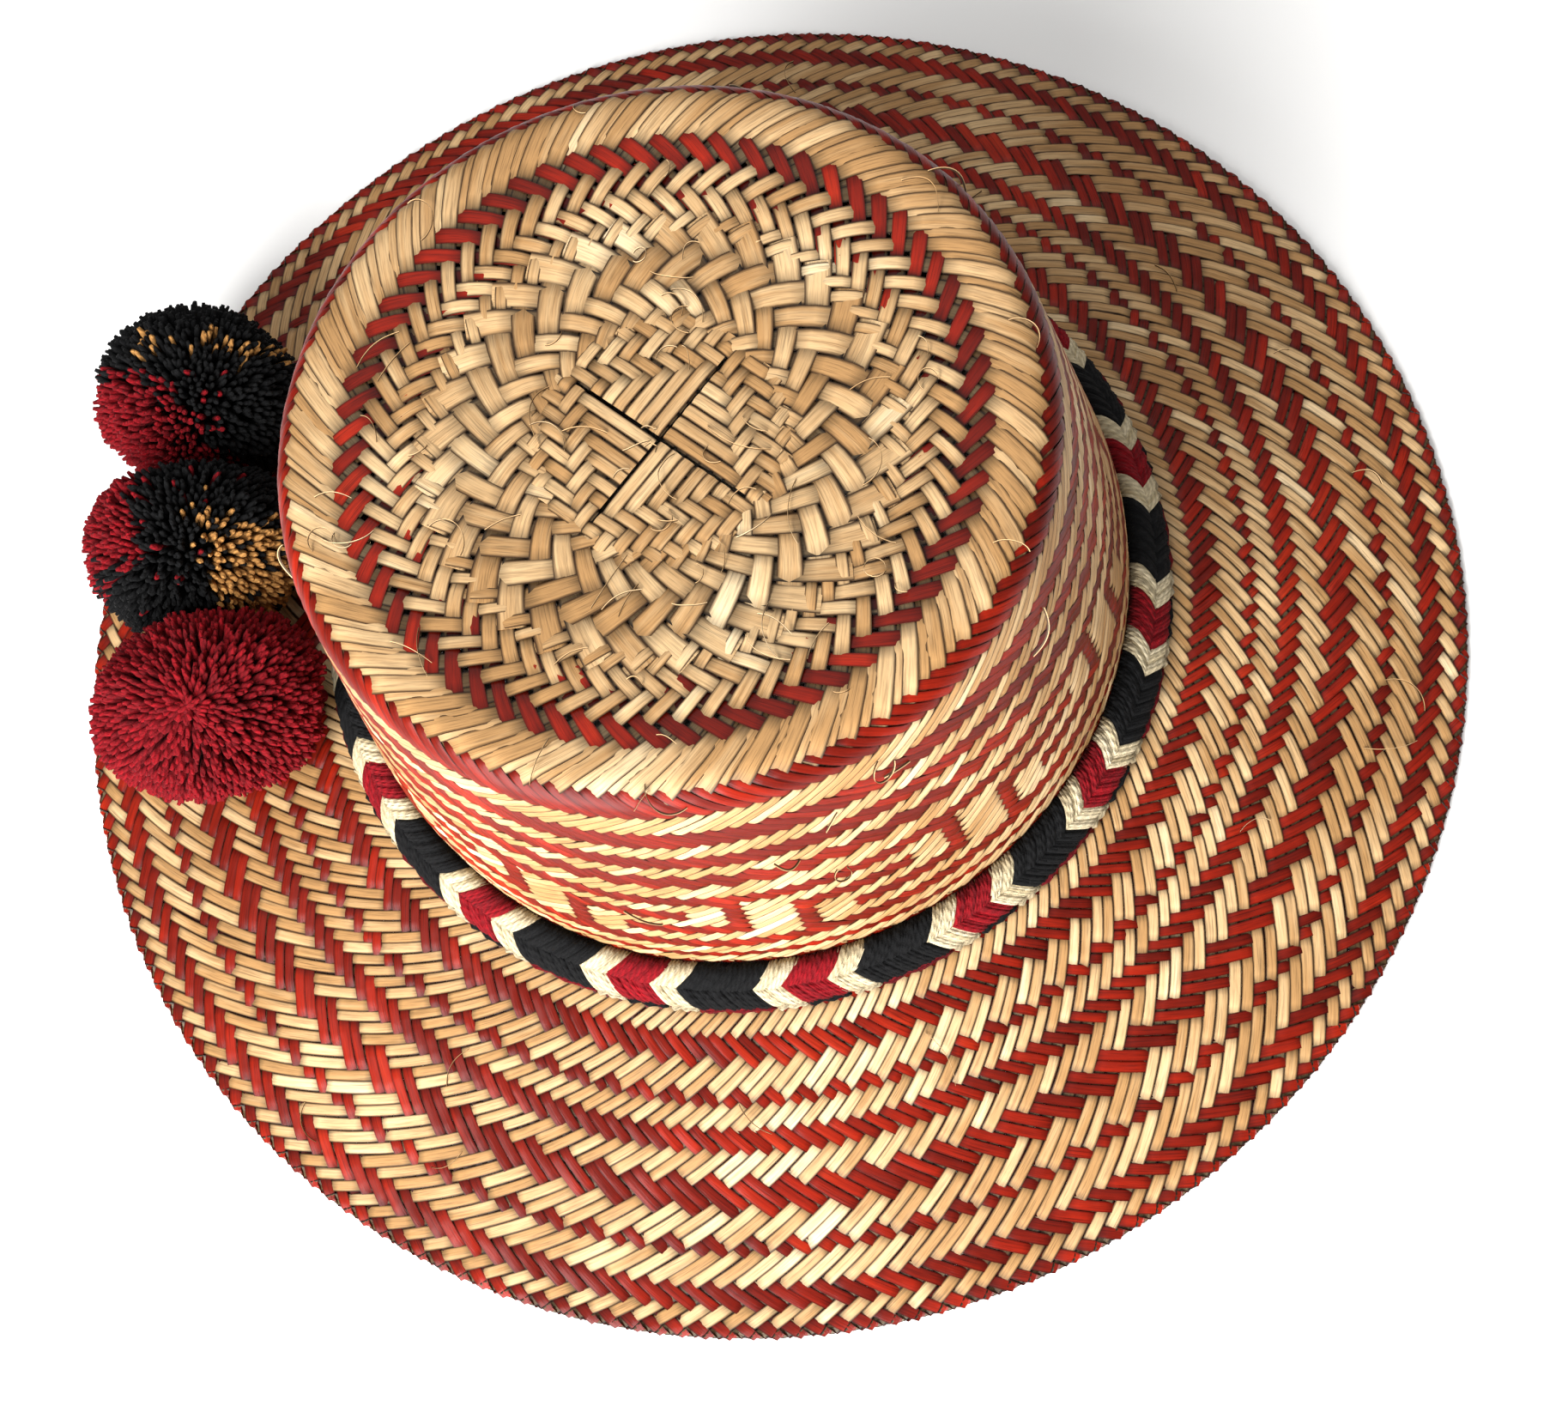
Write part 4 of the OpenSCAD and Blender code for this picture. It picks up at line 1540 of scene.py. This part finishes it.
def back_colours(place: np.ndarray, rng: np.random.Generator) -> np.ndarray:
    """Black, with red at the front outer side and a broken tan line across the top.

    Args:
        place: yarn ends from the ball's centre.
        rng: seeded random source.

    Returns:
        Index of each end's colour.
    """
    x = place[:, 0] + 1.5 * rng.standard_normal(len(place))
    y = place[:, 1] + 2.0 * rng.standard_normal(len(place))
    colour = np.where((y < -1.5 - 0.55 * (x + 14)) & (x < 8), 0, 1)
    colour = np.where((np.abs(y - 8) < 2.6) & (x > -14) & (rng.random(len(place)) < 0.4), 3, colour)
    colour = np.where((colour == 1) & (y < -2) & (x < 12) & (rng.random(len(place)) < 0.25), 0, colour)
    return colour


# ---------------------------------------------------------------- studio


@dataclass(frozen=True)
class Studio:
    """Plain pale floor, white surround, soft lights and the camera."""

    camera_place: tuple[float, float, float] = (0.09144, -0.24116, 0.63741)
    camera_turn: tuple[float, float, float] = (19.10, 7.62, 0.0)
    lens: float = 62.31

    def build(self) -> None:
        """Builds the camera, floor and lights."""
        data = bpy.data.cameras.new("Camera")
        data.lens = self.lens
        data.sensor_width = 36
        data.clip_start = 0.01
        camera = bpy.data.objects.new("Camera", data)
        camera.location = self.camera_place
        camera.rotation_euler = Euler([math.radians(a) for a in self.camera_turn])
        bpy.context.scene.collection.objects.link(camera)
        bpy.context.scene.camera = camera
        self.build_floor()
        self.add_light("Key", (-0.40, -1.25, 0.55), 1.0, 56)
        self.add_light("Gloss", (-0.42, -0.62, 0.85), 0.3, 8)
        self.add_light("Back", (-0.1, 0.55, 1.5), 1.5, 9)
        bpy.context.scene.view_settings.view_transform = "Standard"
        world = bpy.data.worlds.new("Surround")
        bpy.context.scene.world = world
        world.use_nodes = True
        surround = world.node_tree.nodes["Background"]
        surround.inputs["Color"].default_value = (1, 1, 1, 1)
        surround.inputs["Strength"].default_value = 0.36

    def build_floor(self) -> None:
        """Builds the round matt floor."""
        deselect_all()
        bpy.ops.mesh.primitive_circle_add(vertices=96, radius=6, fill_type="NGON", location=(0, 0, 0))
        floor = bpy.context.object
        floor.name = "floor"
        edit_all()
        bpy.ops.mesh.inset(thickness=4, depth=0)
        bpy.ops.object.mode_set(mode="OBJECT")
        material = new_material("Matt white paper")
        tree = material.node_tree
        place = add_node(tree, "ShaderNodeTexCoord")
        tooth = add_node(tree, "ShaderNodeTexNoise", {"Vector": place.outputs["Object"], "Scale": 900.0})
        bump = add_node(tree, "ShaderNodeBump", {
            "Strength": 0.05, "Distance": 0.1 * MM, "Height": tooth.outputs[0]})
        shader = add_node(tree, "ShaderNodeBsdfPrincipled", {
            "Base Color": linear("#F6F5F3"), "Roughness": 0.9, "Normal": bump.outputs[0]})
        add_node(tree, "ShaderNodeOutputMaterial", {"Surface": shader.outputs[0]})
        floor.data.materials.append(material)

    @staticmethod
    def add_light(name: str, place: tuple[float, float, float], size: float, power: float) -> None:
        """Adds a soft square light that faces the hat.

        Args:
            name: object name.
            place: where it hangs, in metres.
            size: its side, in metres.
            power: power in watts.
        """
        data = bpy.data.lights.new(name, "AREA")
        data.size = size
        data.energy = power
        light = bpy.data.objects.new(name, data)
        light.location = place
        light.rotation_euler = (Vector((0, 0, 0.06)) - Vector(place)).to_track_quat("-Z", "Y").to_euler()
        bpy.context.scene.collection.objects.link(light)


def main() -> None:
    """Builds the studio and the hat."""
    logging.basicConfig(level=logging.INFO, format="%(name)s: %(message)s")
    Studio().build()
    natural = PalmFinish("Natural palm splint", "#E4D0AC", "#CCAB7E", "#A47C4E", "#2C1704", 0.46, 0.2,
                         edge_shade_share=0.95, painted_shade=0.18, fibre_dark=0.66, vein_dark=0.62)
    dyed = PalmFinish("Dyed palm splint", "#A52D12", "#8C1C0A", "#621106", "#280602", 0.34, 0.14,
                      edge_shade_share=0.6, painted_shade=0.2, fibre_dark=0.7, vein_dark=0.55)
    PalmHat(HatForm(), natural.build(), dyed.build()).build()
    yarns = {
        Wool.RED: YarnFinish("Red wool yarn", "#82020F", "#60010A", "#1A0103", sheen=0.0).build(),
        Wool.BLACK: YarnFinish("Black wool yarn", "#070708", "#030304", "#010101", sheen=0.0).build(),
        Wool.ECRU: YarnFinish("Ecru cotton yarn", "#C9BB9D", "#AA9976", "#544530").build(),
        Wool.TAN: YarnFinish("Tan wool yarn", "#B88549", "#8F6232", "#2E1C0C").build(),
    }
    WoolBand(yarns).build()
    Pompom("front", "front_pompom", ["pompom_front_tuft", "pompom_front_tie"], yarns, front_colours,
           (0.05, 0.35, 1.0), 61, ["pompom_middle_black"], radial=29.5, lateral=23.5,
           shift=(2.5, 2.5, 2.5)).build()
    for name, choose, dimple, seed, beside in (
            ("middle", middle_colours, (0.0, -1.0, 0.2), 62, ["pompom_front_tuft", "pompom_back_red"]),
            ("back", back_colours, (-0.2, 1.0, 0.1), 63, ["pompom_middle_black"])):
        nodes = [f"pompom_{name}_{part}" for part in ("red", "black", "tan", "tie")]
        Pompom(name, f"{name}_pompom", nodes, yarns, choose, dimple, seed, beside, lateral=24.5).build()


if __name__ == "__main__":
    main()
